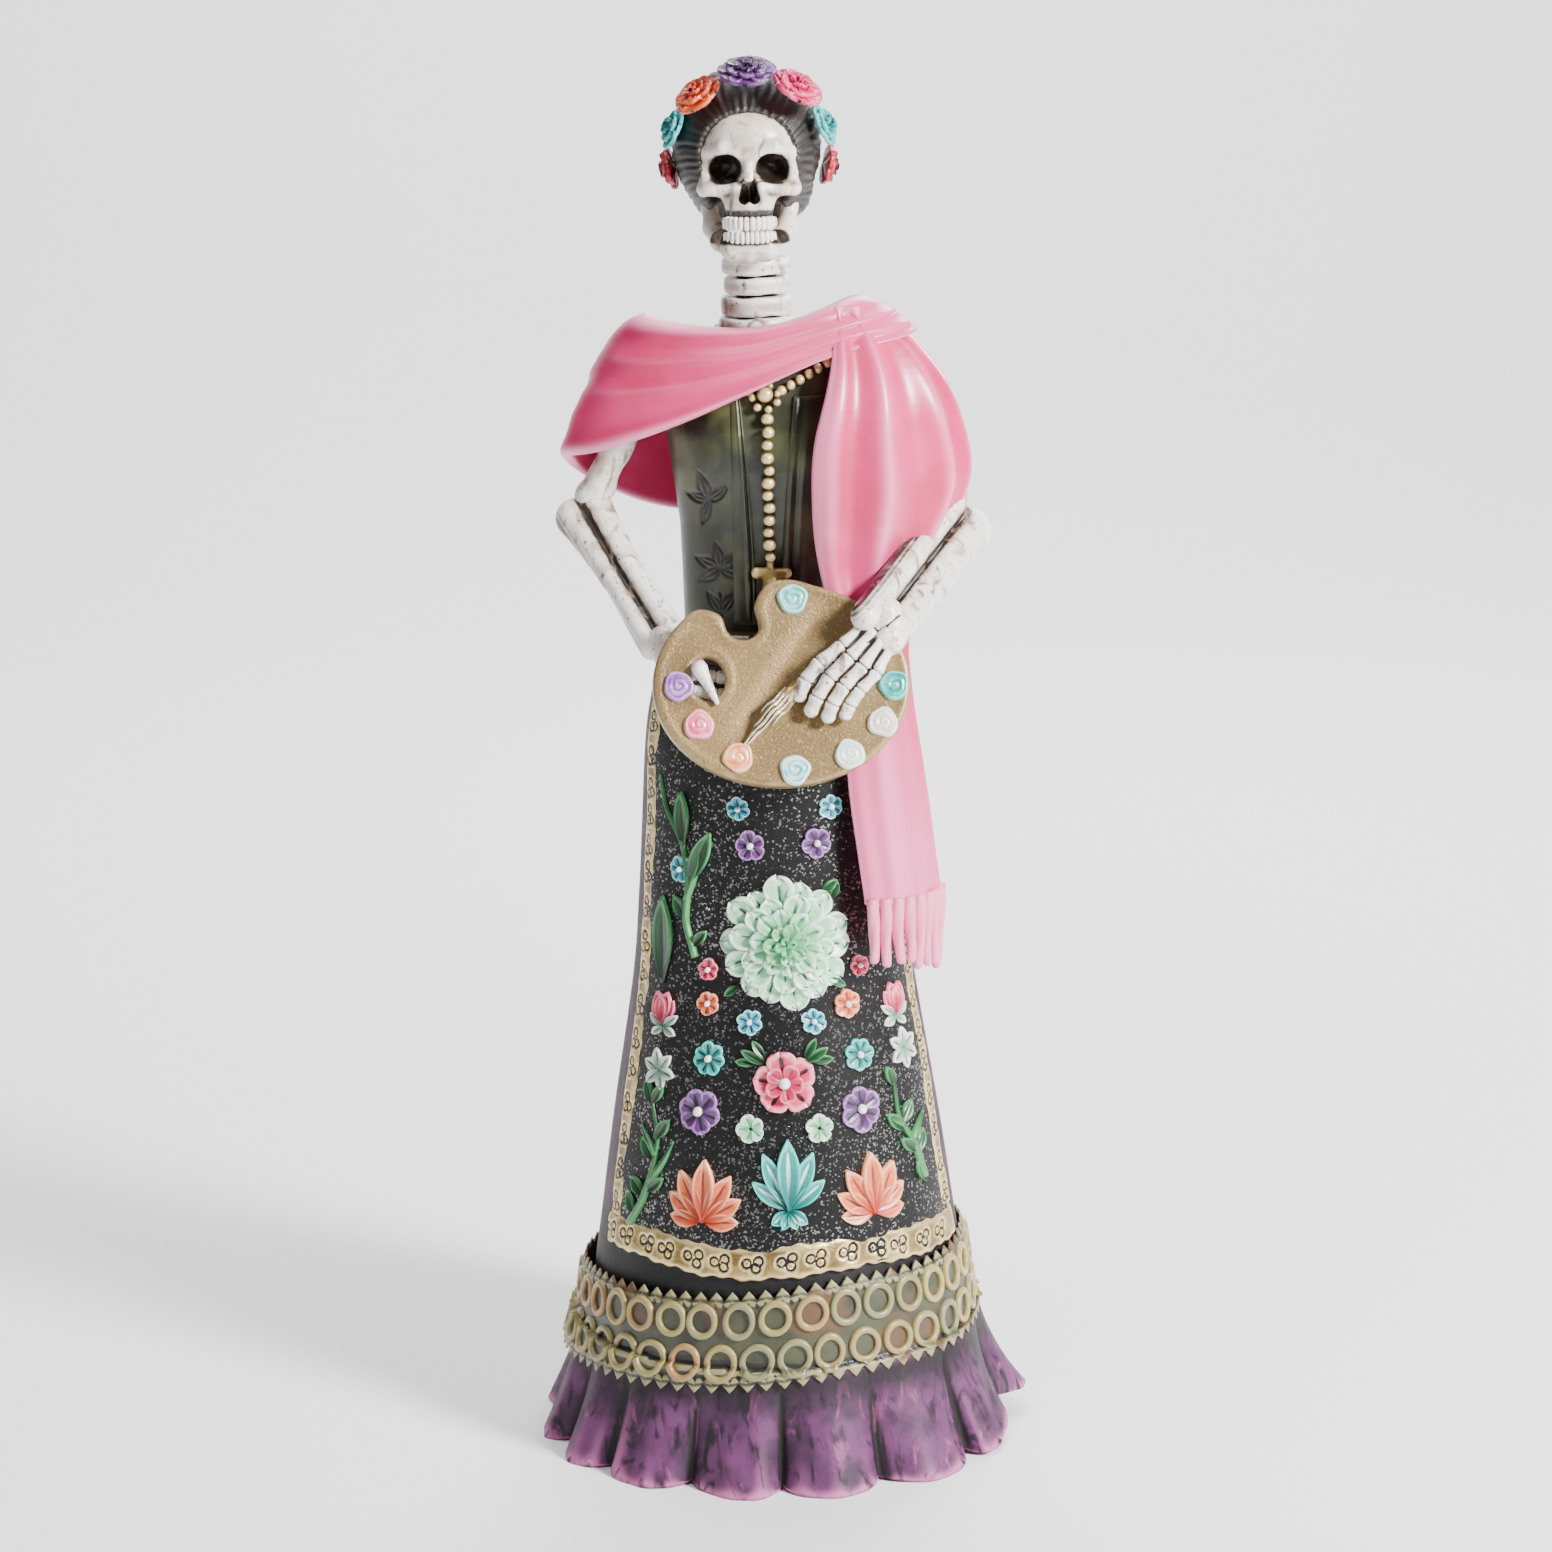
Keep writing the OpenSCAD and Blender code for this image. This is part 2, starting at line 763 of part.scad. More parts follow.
// The right hand lies flat behind the palette, its thumb through the hole.
module right_hand() {
    color("ivory")
        difference() {
            on_palette() {
                bone([-31, 9, -13], [-22, 1, -9.8], 4.6, 3.4);
                bone([-27, 7, -10], [-20.6, 7, -4.2], 3, 2.4);
                bone([-20.9, 7.1, -4.8], [-20.2, 6.8, 1.8], 2.1, 2);
                bone([-20.4, 6.9, 1.2], [-16.9, -1.2, 2], 1.7, 0.9);
                for (i = [0 : 3])
                    bone([-21, 4 - i * 3.2, -9.2], [-6, 0 - i * 4.4, -7.8], 1.8, 1.5);
            }
            forearm_form(right_arm, right_wide, gap);
        }
}

// The left hand lies on the palette's face, fingers bent round the brush.
left_knuckles = [[17.8, 12.4], [19.6, 9], [23, 6.4], [26.8, 4.8]];
left_tips = [[6.4, 0.8], [9.2, -3.6], [13.8, -5.4], [18.6, -5]];
module left_hand() {
    color("ivory")
        difference() {
            on_palette() {
                bone([28.5, 18.5, 6.5], [24, 10.5, 6], 5.6, 4.8);
                for (i = [0 : 3])
                    bone([left_knuckles[i][0], left_knuckles[i][1], 6],
                         [left_tips[i][0], left_tips[i][1], 3.4], 2.6, 2);
            }
            on_palette(brush_lift) rod([-4, -5.6, 0], [21, 15, 0], 2.4);
            forearm_form(left_arm, left_wide, gap);
        }
}

// ---- Shawl -----------------------------------------------------------------

shawl_t = 2.6;

// Half width and half depth of the draped shoulders at height z.
function drape(z) = sqrt(max(0.02, 1 - pow(max(0, z - 280) / 58, 2.2)));
function drape_point(a, z, off) =
    [(56 * drape(z) + off) * sin(a), 1 - (24.5 * drape(z) + off) * cos(a), z];

// Upper and lower edge of the wrap, by angle from the front: it runs from the
// left shoulder over the chest, round the right arm and across the back.
wrap_top = [[-266, 331], [-230, 326], [-180, 322], [-150, 322], [-120, 325], [-90, 328.5], [-50, 327],
            [0, 324.8], [25, 328], [50, 332], [80, 334.5]];
wrap_low = [[-266, 270], [-230, 267], [-180, 265], [-150, 268], [-120, 279], [-90, 287],
            [-62, 288.5], [-30, 297.5], [0, 308.5], [25, 318], [50, 323], [80, 325]];
// How far the wrap stands off where it crosses over the fall.
wrap_lift = [[-266, 0.6], [-20, 0.6], [15, 3.4], [80, 3.6]];

function wrap_grid(inward) = [for (a = [-266 : 346 / 44 : 80.1])
    [for (j = [0 : 6])
        let (z = mix(lookup(a, wrap_top), lookup(a, wrap_low), j / 6))
        drape_point(a, z, lookup(a, wrap_lift) - inward + 1.2 * sin(j * 30))]];

module shawl_wrap() {
    color("hotpink") sheet_solid(wrap_grid(0), wrap_grid(shawl_t));
}

// The fall hangs from the left shoulder: its two edges and their depth by height.
fall_in_x = [[165, 26], [197, 22], [220, 20.5], [237, 18.5], [257, 15], [277, 12.8], [292, 13.2], [306, 17],
    [330, 20]];
fall_in_y = [[165, -40], [197, -36.5], [220, -35.5], [237, -33.5], [257, -29.5], [285, -27], [306, -25],
    [318, -20], [330, -13]];
fall_out_x = [[165, 47.5], [197, 43.5], [220, 40], [237, 38.5], [257, 44], [270, 51.5], [285, 56.5],
    [300, 52], [318, 41.5], [330, 28]];
fall_out_y = [[165, -22], [197, -19], [237, -16], [250, -10], [262, -3], [277, 2.5], [318, 2.5], [330, 2]];

function fall_point(s, z, inward) =
    let (xi = lookup(z, fall_in_x), xo = lookup(z, fall_out_x),
         yi = lookup(z, fall_in_y), yo = lookup(z, fall_out_y), a = s * 90)
    [mix(xi, xo, sin(a)) - inward * sin(a), mix(yo, yi, cos(a)) + inward * cos(a), z];

function fall_grid(inward) = [for (i = [0 : 8])
    [for (z = [330 : -7.5 : 165]) fall_point(i / 8, z, inward)]];

// The fall is hollowed where it lies on the left arm.
module shawl_fall() {
    color("hotpink")
        difference() {
            sheet_solid(flip(fall_grid(0)), flip(fall_grid(shawl_t)));
            bone(left_arm[0], left_arm[1], 5.5, 5.2);
            forearm_form(left_arm, left_wide, gap);
        }
}

module shawl_fringe() {
    color("palevioletred")
        for (i = [0 : 8])
            let (p = fall_point((i + 0.5) / 9, 165, shawl_t / 2))
            translate([p[0], p[1], 146 + (i % 2)])
                cylinder(r = 1.35, h = 18.9 - (i % 2), $fn = 20);
}

// ---- Drawing ---------------------------------------------------------------

base_disc();
felt_pad();
spine_dowel();
waist_disc();
arm_wires();
skirt_shell();
flounce();
lace_band();
lace_rings();
apron_panel();
apron_hem_trim();
apron_side_trims();
dahlia();
magenta_flower();
purple_flowers();
teal_flowers();
blue_flowers();
mint_flowers();
red_flowers();
orange_flowers();
orange_lotuses();
teal_lily();
tulips();
white_lilies();
vines();
leaf_sprigs();
flower_centres();
bodice();
vest_panels();
necklace_chain();
necklace_ornament();
necklace_strand();
pendant();
neck_vertebrae();
skull();
jaw();
upper_teeth();
lower_teeth();
hair();
crown_flower_purple();
crown_flower_orange();
crown_flower_pink();
crown_flowers_aqua();
crown_flowers_red();
right_upper_arm();
right_forearm();
right_hand();
left_upper_arm();
left_forearm();
left_hand();
palette();
paint_dabs();
brush_handle();
brush_bristles();
shawl_wrap();
shawl_fall();
shawl_fringe();
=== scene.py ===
"""A painted papier-mache skeleton lady with a palette, a flower crown and a rose shawl.

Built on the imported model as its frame. Sizes are metres, the figure faces -Y and stands on z = 0.
Helpers are defined in the first section that needs them.
"""

import math

import bmesh
import bpy
import numpy as np
from mathutils import Matrix, Vector

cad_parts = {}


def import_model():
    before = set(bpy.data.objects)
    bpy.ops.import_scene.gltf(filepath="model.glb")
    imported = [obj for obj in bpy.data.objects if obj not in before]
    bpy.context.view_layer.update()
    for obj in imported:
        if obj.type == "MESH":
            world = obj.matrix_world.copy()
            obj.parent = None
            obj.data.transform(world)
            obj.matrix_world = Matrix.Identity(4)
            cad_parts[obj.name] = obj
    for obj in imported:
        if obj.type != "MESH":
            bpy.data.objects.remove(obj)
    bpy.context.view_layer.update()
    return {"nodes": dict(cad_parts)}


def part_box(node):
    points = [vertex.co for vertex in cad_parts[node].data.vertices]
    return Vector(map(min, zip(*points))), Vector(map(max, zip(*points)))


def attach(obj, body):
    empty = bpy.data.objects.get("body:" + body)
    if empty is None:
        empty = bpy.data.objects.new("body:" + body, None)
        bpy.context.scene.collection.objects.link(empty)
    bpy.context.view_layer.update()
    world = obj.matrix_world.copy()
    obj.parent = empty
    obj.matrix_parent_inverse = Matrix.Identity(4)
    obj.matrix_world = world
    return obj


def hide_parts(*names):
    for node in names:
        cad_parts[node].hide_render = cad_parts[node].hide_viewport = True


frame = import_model()
MM = 0.001

# ---------------------------------------------------------------------------
# Camera, lights and floor
# The lens is a little above the figure's head and looks down at the middle of it.
# ---------------------------------------------------------------------------
camera_data = bpy.data.cameras.new("camera")
camera_data.lens = 94.0
camera_data.sensor_width = 36.0
camera_data.clip_start = 0.05
camera = bpy.data.objects.new("camera", camera_data)
bpy.context.scene.collection.objects.link(camera)
camera.matrix_world = (
    Matrix.Translation((0.0016, -1.136, 0.459))
    @ Matrix.Rotation(math.radians(90 - 13.13), 4, "X")
    @ Matrix.Rotation(math.radians(-1.0), 4, "Z")
)
bpy.context.scene.camera = camera


def area_light(name, place, aim, size, watts, colour=(1, 1, 1)):
    light = bpy.data.lights.new(name, "AREA")
    light.shape = "DISK"
    light.size = size
    light.energy = watts
    light.color = colour
    lamp = bpy.data.objects.new(name, light)
    bpy.context.scene.collection.objects.link(lamp)
    lamp.location = place
    lamp.rotation_euler = (Vector(aim) - Vector(place)).to_track_quat("-Z", "Y").to_euler()


area_light("key", (1.05, -0.8, 0.9), (0, 0, 0.22), 0.36, 64.0, (1, 0.985, 0.965))
area_light("fill", (-1.0, -1.0, 0.6), (0, 0, 0.2), 0.9, 1.8, (0.95, 0.97, 1))
area_light("rim", (0.3, 1.0, 0.95), (0, 0, 0.25), 0.6, 9.0)
area_light("top", (-0.15, -0.3, 1.5), (0, 0, 0.2), 0.5, 6.0)
area_light("backdrop_wash", (0, 0.9, 1.9), (0, 2.1, 0.5), 1.4, 60.0)

world = bpy.data.worlds.new("studio")
bpy.context.scene.world = world
world.use_nodes = True
world.node_tree.nodes["Background"].inputs["Color"].default_value = (0.94, 0.95, 0.97, 1)
world.node_tree.nodes["Background"].inputs["Strength"].default_value = 0.13

floor_mesh = bpy.data.meshes.new("floor")
sweep = [(-3.0, 0.0), (1.2, 0.0)] + [
    (1.2 + 1.0 * math.sin(k * math.pi / 24), 1.0 - 1.0 * math.cos(k * math.pi / 24)) for k in range(1, 13)
] + [(2.2, 4.0)]
floor_mesh.from_pydata(
    [(x, y, z) for y, z in sweep for x in (-4, 4)], [],
    [(2 * k, 2 * k + 1, 2 * k + 3, 2 * k + 2) for k in range(len(sweep) - 1)])
floor_mesh.polygons.foreach_set("use_smooth", [True] * len(floor_mesh.polygons))
floor = bpy.data.objects.new("floor", floor_mesh)
bpy.context.scene.collection.objects.link(floor)
floor_paint = bpy.data.materials.new("floor_paint")
floor_paint.use_nodes = True
floor_shader = floor_paint.node_tree.nodes["Principled BSDF"]
floor_shader.inputs["Base Color"].default_value = (0.93, 0.93, 0.93, 1)
floor_shader.inputs["Roughness"].default_value = 0.9
floor_mesh.materials.append(floor_paint)

# ---------------------------------------------------------------------------
# Armature: base disc, waist disc, spine dowel, felt pad and arm wires
# Turned softwood and soft wire, glued inside the paper body; the felt is pasted under the disc.
# ---------------------------------------------------------------------------
def new_material(name, roughness, coat=0.0, metallic=0.0):
    material = bpy.data.materials.new(name)
    material.use_nodes = True
    shader = material.node_tree.nodes["Principled BSDF"]
    shader.inputs["Roughness"].default_value = roughness
    shader.inputs["Metallic"].default_value = metallic
    shader.inputs["Coat Weight"].default_value = coat
    shader.inputs["Coat Roughness"].default_value = 0.22
    return material, material.node_tree, shader


def noise(tree, size_mm, detail=3.0, stretch=(1, 1, 1), twist=0.0):
    """Cloudy pattern with blotches about size_mm across, narrower where stretch is larger."""
    coordinate = tree.nodes.new("ShaderNodeTexCoord")
    mapping = tree.nodes.new("ShaderNodeMapping")
    mapping.inputs["Scale"].default_value = stretch
    pattern = tree.nodes.new("ShaderNodeTexNoise")
    pattern.inputs["Scale"].default_value = 1000.0 / size_mm
    pattern.inputs["Detail"].default_value = detail
    pattern.inputs["Distortion"].default_value = twist
    tree.links.new(coordinate.outputs["Object"], mapping.inputs["Vector"])
    tree.links.new(mapping.outputs["Vector"], pattern.inputs["Vector"])
    return pattern.outputs["Fac"]


def ramp(tree, amount, *stops):
    """Colour by amount. Each stop is (position, (red, green, blue))."""
    strip = tree.nodes.new("ShaderNodeValToRGB")
    elements = strip.color_ramp.elements
    while len(elements) < len(stops):
        elements.new(0.5)
    for element, (position, colour) in zip(elements, stops):
        element.position = position
        element.color = (*colour, 1)
    tree.links.new(amount, strip.inputs["Fac"])
    return strip.outputs["Color"]


def grey(tree, amount, low, high):
    """0 below low, 1 above high, smooth in between."""
    span = tree.nodes.new("ShaderNodeMapRange")
    span.interpolation_type = "SMOOTHSTEP"
    span.inputs["From Min"].default_value = low
    span.inputs["From Max"].default_value = high
    tree.links.new(amount, span.inputs["Value"])
    return span.outputs["Result"]


def mix(tree, amount, first, second, blend="MIX"):
    """first where amount is 0, second where it is 1."""
    mixer = tree.nodes.new("ShaderNodeMix")
    mixer.data_type = "RGBA"
    mixer.blend_type = blend
    for socket, value in ((0, amount), (6, first), (7, second)):
        if isinstance(value, bpy.types.NodeSocket):
            tree.links.new(value, mixer.inputs[socket])
        elif socket == 0:
            mixer.inputs[0].default_value = value
        else:
            mixer.inputs[socket].default_value = (*value, 1)
    return mixer.outputs[2]


def bump(tree, shader, amount, depth_mm, before=None):
    """Raises the surface by amount times depth_mm."""
    relief = tree.nodes.new("ShaderNodeBump")
    relief.inputs["Strength"].default_value = 1.0
    relief.inputs["Distance"].default_value = depth_mm * MM
    tree.links.new(amount, relief.inputs["Height"])
    if before is not None:
        tree.links.new(before, relief.inputs["Normal"])
    tree.links.new(relief.outputs["Normal"], shader.inputs["Normal"])
    return relief.outputs["Normal"]


wood, tree, shader = new_material("softwood", 0.65)
grain = noise(tree, 5.0, 4.0, (1, 1, 0.12), 1.5)
tree.links.new(ramp(tree, grain, (0.3, (0.42, 0.27, 0.13)), (0.7, (0.66, 0.5, 0.31))),
               shader.inputs["Base Color"])
bump(tree, shader, grain, 0.1)

felt, tree, shader = new_material("felt", 0.95)
fuzz = noise(tree, 1.2, 6.0)
tree.links.new(ramp(tree, fuzz, (0.3, (0.012, 0.04, 0.02)), (0.7, (0.04, 0.11, 0.06))),
               shader.inputs["Base Color"])
shader.inputs["Sheen Weight"].default_value = 0.4
bump(tree, shader, fuzz, 0.3)

wire, tree, shader = new_material("soft_wire", 0.4, 0.0, 1.0)
tarnish = noise(tree, 3.0)
tree.links.new(ramp(tree, tarnish, (0.3, (0.2, 0.2, 0.2)), (0.7, (0.42, 0.42, 0.42))),
               shader.inputs["Base Color"])


def dress_cad(material, slot, *names):
    """Gives CAD pieces that keep their own shape their finish."""
    for name in names:
        cad = frame["nodes"][name]
        cad.data.materials.clear()
        cad.data.materials.append(material)


dress_cad(wood, "armature_wood", "base_disc", "waist_disc", "spine_dowel")
dress_cad(felt, "felt", "felt_pad")
dress_cad(wire, "wire", "arm_wires")

# ---------------------------------------------------------------------------
# Skirt cone: layers of paper pasted over a former, with soft folds behind the apron
# Painted mauve, brushed with pink and wiped with black.
# ---------------------------------------------------------------------------
def skirt_outline():
    """Heights and outside radii of the CAD skirt, in millimetres."""
    points = np.array([v.co for v in frame["nodes"]["skirt_shell"].data.vertices]) / MM
    heights = np.round(points[:, 2], 1)
    radii = np.hypot(points[:, 0], points[:, 1])
    levels = np.unique(heights)
    return levels, np.array([radii[heights == level].max() for level in levels])


outline_z, outline_r = skirt_outline()


def skirt_r(z):
    """Radius of the skirt at a height, its corners rounded off."""
    return sum(np.interp(np.asarray(z) + shift, outline_z, outline_r) for shift in (-7, -3.5, 0, 3.5, 7)) / 5


def around(angle, radius, z):
    """Points from an angle (0 at the front, towards her left), a radius and a height."""
    return np.stack(np.broadcast_arrays(radius * np.sin(angle), -radius * np.cos(angle), z), axis=-1)


def shell(outer, inner, ring=False):
    """Corner points and faces of a closed solid between two grids of points."""
    rows, columns = outer.shape[:2]
    top = np.arange(rows * columns).reshape(rows, columns)
    low = top + rows * columns
    if ring:
        top, low = np.vstack([top, top[:1]]), np.vstack([low, low[:1]])

    def quads(a, b, c, d):
        return np.stack([a, b, c, d], axis=-1).reshape(-1, 4)

    faces = [
        quads(top[:-1, :-1], top[1:, :-1], top[1:, 1:], top[:-1, 1:]),
        quads(low[:-1, :-1], low[:-1, 1:], low[1:, 1:], low[1:, :-1]),
        quads(top[:-1, 0], low[:-1, 0], low[1:, 0], top[1:, 0]),
        quads(top[:-1, -1], top[1:, -1], low[1:, -1], low[:-1, -1]),
    ]
    if not ring:
        faces += [
            quads(top[0, :-1], top[0, 1:], low[0, 1:], low[0, :-1]),
            quads(top[-1, :-1], low[-1, :-1], low[-1, 1:], top[-1, 1:]),
        ]
    return np.concatenate([outer.reshape(-1, 3), inner.reshape(-1, 3)]), np.concatenate(faces)


def gather(parts):
    """Joins lists of (points, faces) into one."""
    points, faces, count = [], [], 0
    for some_points, some_faces in parts:
        points.append(some_points)
        faces.append(some_faces + count)
        count += len(some_points)
    return np.concatenate(points), np.concatenate(faces)


def mark_form(mesh, rounds, span_mm, deep_rounds=0, deep_mm=1.0):
    """Stores how proud (over 0.5) or sunken (under 0.5) each point is, for paint on ridges or in grooves.
    deep_rounds looks further, for whole hollows that are deep_mm or more below their surroundings."""
    count = len(mesh.vertices)
    place = np.empty(count * 3)
    normal = np.empty(count * 3)
    edges = np.empty(len(mesh.edges) * 2, dtype=np.int64)
    mesh.vertices.foreach_get("co", place)
    mesh.vertices.foreach_get("normal", normal)
    mesh.edges.foreach_get("vertices", edges)
    place, normal, edges = place.reshape(-1, 3), normal.reshape(-1, 3), edges.reshape(-1, 2)
    a, b = np.concatenate([edges, edges[:, ::-1]]).T
    neighbours = np.maximum(np.bincount(a, minlength=count), 1)
    smooth = place.copy()
    proud = 0
    for step in range(1, max(rounds, deep_rounds) + 1):
        smooth = np.stack([np.bincount(a, smooth[b, k], count) / neighbours for k in range(3)], axis=1)
        if step == rounds:
            proud = ((place - smooth) * normal).sum(axis=1) / (span_mm * MM)
    if deep_rounds:
        proud = proud + np.minimum(((place - smooth) * normal).sum(axis=1) / (deep_mm * MM), 0)
    store(mesh, "form", np.clip(0.5 + 0.5 * proud, 0, 1))


def store(mesh, name, values):
    layer = mesh.attributes.get(name) or mesh.attributes.new(name, "FLOAT", "POINT")
    layer.data.foreach_set("value", np.asarray(values, dtype=np.float32))


def build(name, points, faces, material, slot, nodes=(), form=(4, 0.3), tone=None, flat=False):
    """Makes one finished piece from points in millimetres, in place of its CAD nodes."""
    mesh = bpy.data.meshes.new(name)
    mesh.from_pydata((np.asarray(points, dtype=float) * MM).tolist(), [], np.asarray(faces).tolist())
    work = bmesh.new()
    work.from_mesh(mesh)
    bmesh.ops.recalc_face_normals(work, faces=work.faces)
    work.to_mesh(mesh)
    work.free()
    mesh.polygons.foreach_set("use_smooth", [not flat] * len(mesh.polygons))
    mesh.update()
    if form:
        mark_form(mesh, *form)
    if tone is not None:
        store(mesh, "tone", tone)
    mesh.materials.append(material)
    made = bpy.data.objects.new(name, mesh)
    bpy.context.scene.collection.objects.link(made)
    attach(made, "root")
    if nodes:
        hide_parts(*nodes)
    return made


def attribute(tree, name):
    reader = tree.nodes.new("ShaderNodeAttribute")
    reader.attribute_name = name
    return reader.outputs["Fac"]


def painted(name, base, deep, light, groove_colour=(0.01, 0.008, 0.008), roughness=0.38, coat=0.25,
            blotch_mm=9.0, groove_from=0.3, groove_to=0.5, light_from=0.56, light_to=0.85, grain_mm=0.7,
            grain_depth=0.05, metallic=0.0):
    """Hand paint: base and deep in blotches, the light colour rubbed on the ridges and the groove colour
    left in the grooves, by the stored form. On most pieces these are drybrushing and dark antiquing. On the
    shawl's folds, the fronts and backs of the necklace beads and the forearms' shaded edge they are painted
    highlight and painted shade.
    """
    material, tree, shader = new_material(name, roughness, coat, metallic)
    form = attribute(tree, "form")
    blotch = grey(tree, noise(tree, blotch_mm, 4.0), 0.35, 0.65)
    colour = mix(tree, blotch, base, deep)
    colour = mix(tree, grey(tree, form, light_from, light_to), colour, light)
    broken = tree.nodes.new("ShaderNodeMath")
    broken.operation = "MULTIPLY_ADD"
    broken.inputs[1].default_value = 0.22
    tree.links.new(noise(tree, 2.2, 5.0), broken.inputs[0])
    tree.links.new(form, broken.inputs[2])
    colour = mix(tree, grey(tree, broken.outputs[0], groove_from + 0.11, groove_to + 0.11), groove_colour, colour)
    tree.links.new(colour, shader.inputs["Base Color"])
    bump(tree, shader, noise(tree, grain_mm, 4.0), grain_depth)
    return material, tree, shader, colour


skirt_paint, tree, shader, colour = painted(
    "skirt_paint", (0.125, 0.035, 0.115), (0.04, 0.014, 0.042), (0.50, 0.15, 0.34),
    roughness=0.55, coat=0.0, blotch_mm=13.0, groove_from=0.28, groove_to=0.52, grain_mm=1.6, grain_depth=0.12)
shader.inputs["Specular IOR Level"].default_value = 0.35
# Streaks left by the brush, running down the cloth.
streak = grey(tree, noise(tree, 5.0, 5.0, (1, 1, 0.22), 1.0), 0.58, 0.76)
colour = mix(tree, streak, colour, (0.34, 0.075, 0.22))
smear = grey(tree, noise(tree, 7.0, 6.0, (1, 1, 0.35), 2.0), 0.5, 0.68)
colour = mix(tree, smear, colour, (0.016, 0.008, 0.016))
# Tone mixes in black: a painted shadow on the skirt below the apron's gold foot and on the flounce just
# under the lace. On the skirt tone is never under 0.45, which darkens all of it.
tree.links.new(mix(tree, attribute(tree, "tone"), colour, (0.006, 0.005, 0.006)),
               shader.inputs["Base Color"])

angle = np.linspace(0, 2 * math.pi, 288, endpoint=False)[:, None]
height = np.linspace(outline_z[0], outline_z[-1], 90)[None, :]
behind = np.clip((1 - np.cos(angle)) / 1.4 - 0.25, 0, 1)
folds = behind * (1.5 * np.cos(9 * angle + 0.5 * np.sin(2 * angle)) + 0.7 * np.cos(17 * angle + 1.0))
folds = folds * np.clip((outline_z[-1] - height) / 60, 0, 1) * np.clip((height - 30) / 50, 0, 1)
outside = skirt_r(height) - 0.15 + folds
# Painted shadow low at the front, under the apron's foot, over an even darkening of the whole skirt.
foot_shadow_and_darkening = np.maximum(np.clip((74 - height) / 8, 0, 1) * np.clip(np.cos(angle) * 3 + 0.6, 0, 1), 0.45)
build("skirt", *shell(around(angle, outside, height), around(angle, outside - 2.2, height), ring=True),
      skirt_paint, "purple_paint", ["skirt_shell"], form=(10, 0.9), tone=np.tile(foot_shadow_and_darkening.ravel(), 2))

# ---------------------------------------------------------------------------
# Flounce: a strip of damp paper gathered into uneven folds and pasted round the hem
# It flares to the table, and lifts a little at her left side.
# ---------------------------------------------------------------------------
flounce_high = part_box("flounce")[1]
flounce_reach = flounce_high.x / MM
flounce_top = flounce_high.z / MM
luck = np.random.default_rng(7)
fold_count = 15
fold_widths = 1 + 0.22 * luck.uniform(-1, 1, fold_count)
fold_edges = np.concatenate([[0], np.cumsum(fold_widths)]) / fold_widths.sum() * 2 * math.pi
fold_depth = luck.uniform(0.75, 1.0, fold_count)
fold_lean = luck.uniform(-0.09, 0.09, fold_count)
around_hem = np.linspace(0, 2 * math.pi, 480, endpoint=False)
down = np.linspace(0, 1, 44)
turn, t = np.meshgrid(around_hem, down, indexing="ij")
fold = np.clip(np.searchsorted(fold_edges, turn, side="right") - 1, 0, fold_count - 1)
across = (turn - fold_edges[fold]) / (fold_edges[fold + 1] - fold_edges[fold])
# A full rounded fold, its crest pushed to one side, with a tight valley before the next.
crest = np.sin(math.pi * across ** (1.0 + 0.35 * np.sin(fold * 2.3))) ** 0.62
ripple = 0.5 + 0.5 * np.cos(3 * 2 * math.pi * across + fold)
swell = crest * fold_depth[fold]
top_r = skirt_r(flounce_top) + 2.0 + 0.9 * crest
valley_r = skirt_r(0) + 2.5
hem_r = valley_r + (flounce_reach - valley_r) * (0.12 + 0.9 * swell) - 0.5 * ripple * crest
radius = top_r + (hem_r - top_r) * t ** (1.55 - 0.25 * crest)
lift = 7.5 * np.exp(-((turn - math.radians(92)) / 0.42) ** 2) + 1.2 * (1 - crest)
hem_z = flounce_top * (1 - t) + lift * t**2
slant = turn + fold_lean[fold] * t * crest * (1 - across) * across * 4
squeeze = 1 - 0.045 * t[..., None] * np.array([0, 1, 0])
outer = around(slant, radius, np.maximum(hem_z, 0.02)) * squeeze
inner = around(slant, radius - 1.8 - 0.4 * t, np.maximum(hem_z + 0.3 * t, 0.02)) * squeeze
# Painted shadow: the top of the flounce is darkened towards black just under the lace.
shadow_under_lace = np.clip((0.4 - t) / 0.25, 0, 1) * 0.85
build("flounce_folds", *shell(outer, inner, ring=True), skirt_paint, "purple_paint", ["flounce"],
      form=(14, 1.1),
      tone=np.tile(shadow_under_lace.ravel(), 2))

# ---------------------------------------------------------------------------
# Lace band: a strip of card cut to a zigzag on both edges, pasted over the flounce's top edge
# Two rows of separate card rings are pasted on it, rubbed with yellow, copper and green.
# ---------------------------------------------------------------------------
lace_low, lace_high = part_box("lace_band")
lace_count, rings_in_row, half_height = 72, 34, 14.0
lace_shift = (lace_low.x + lace_high.x) / 2 / MM
# Radius that turns a step along the band into an angle.
ring_line_r = 60.0


def lace_middle(angle):
    """Height of the band's middle line: it was pasted on a little uneven."""
    return 41.5 + 4.0 * np.sin(angle) + 2.5 * np.cos(angle) + 0.5 * np.sin(5 * angle)


def on_lace(angle, rise, proud):
    """A point on the band, rise above its middle line and proud of its back."""
    z = lace_middle(angle) + rise
    down = np.clip((flounce_top - z) / flounce_top, 0, 1)
    ledge = skirt_r(flounce_top) + 2.6
    under = np.where(z < flounce_top + 1, ledge + (flounce_reach - ledge) * 1.05 * down ** 1.3, 0)
    shifted_in = np.maximum(0, -lace_shift * np.sin(angle))
    radius = np.maximum(skirt_r(z) + 1.0, under) + shifted_in + 0.35 * np.sin(7 * angle + 1) + proud
    return around(angle, radius, z) + np.array([lace_shift, 0, 0])


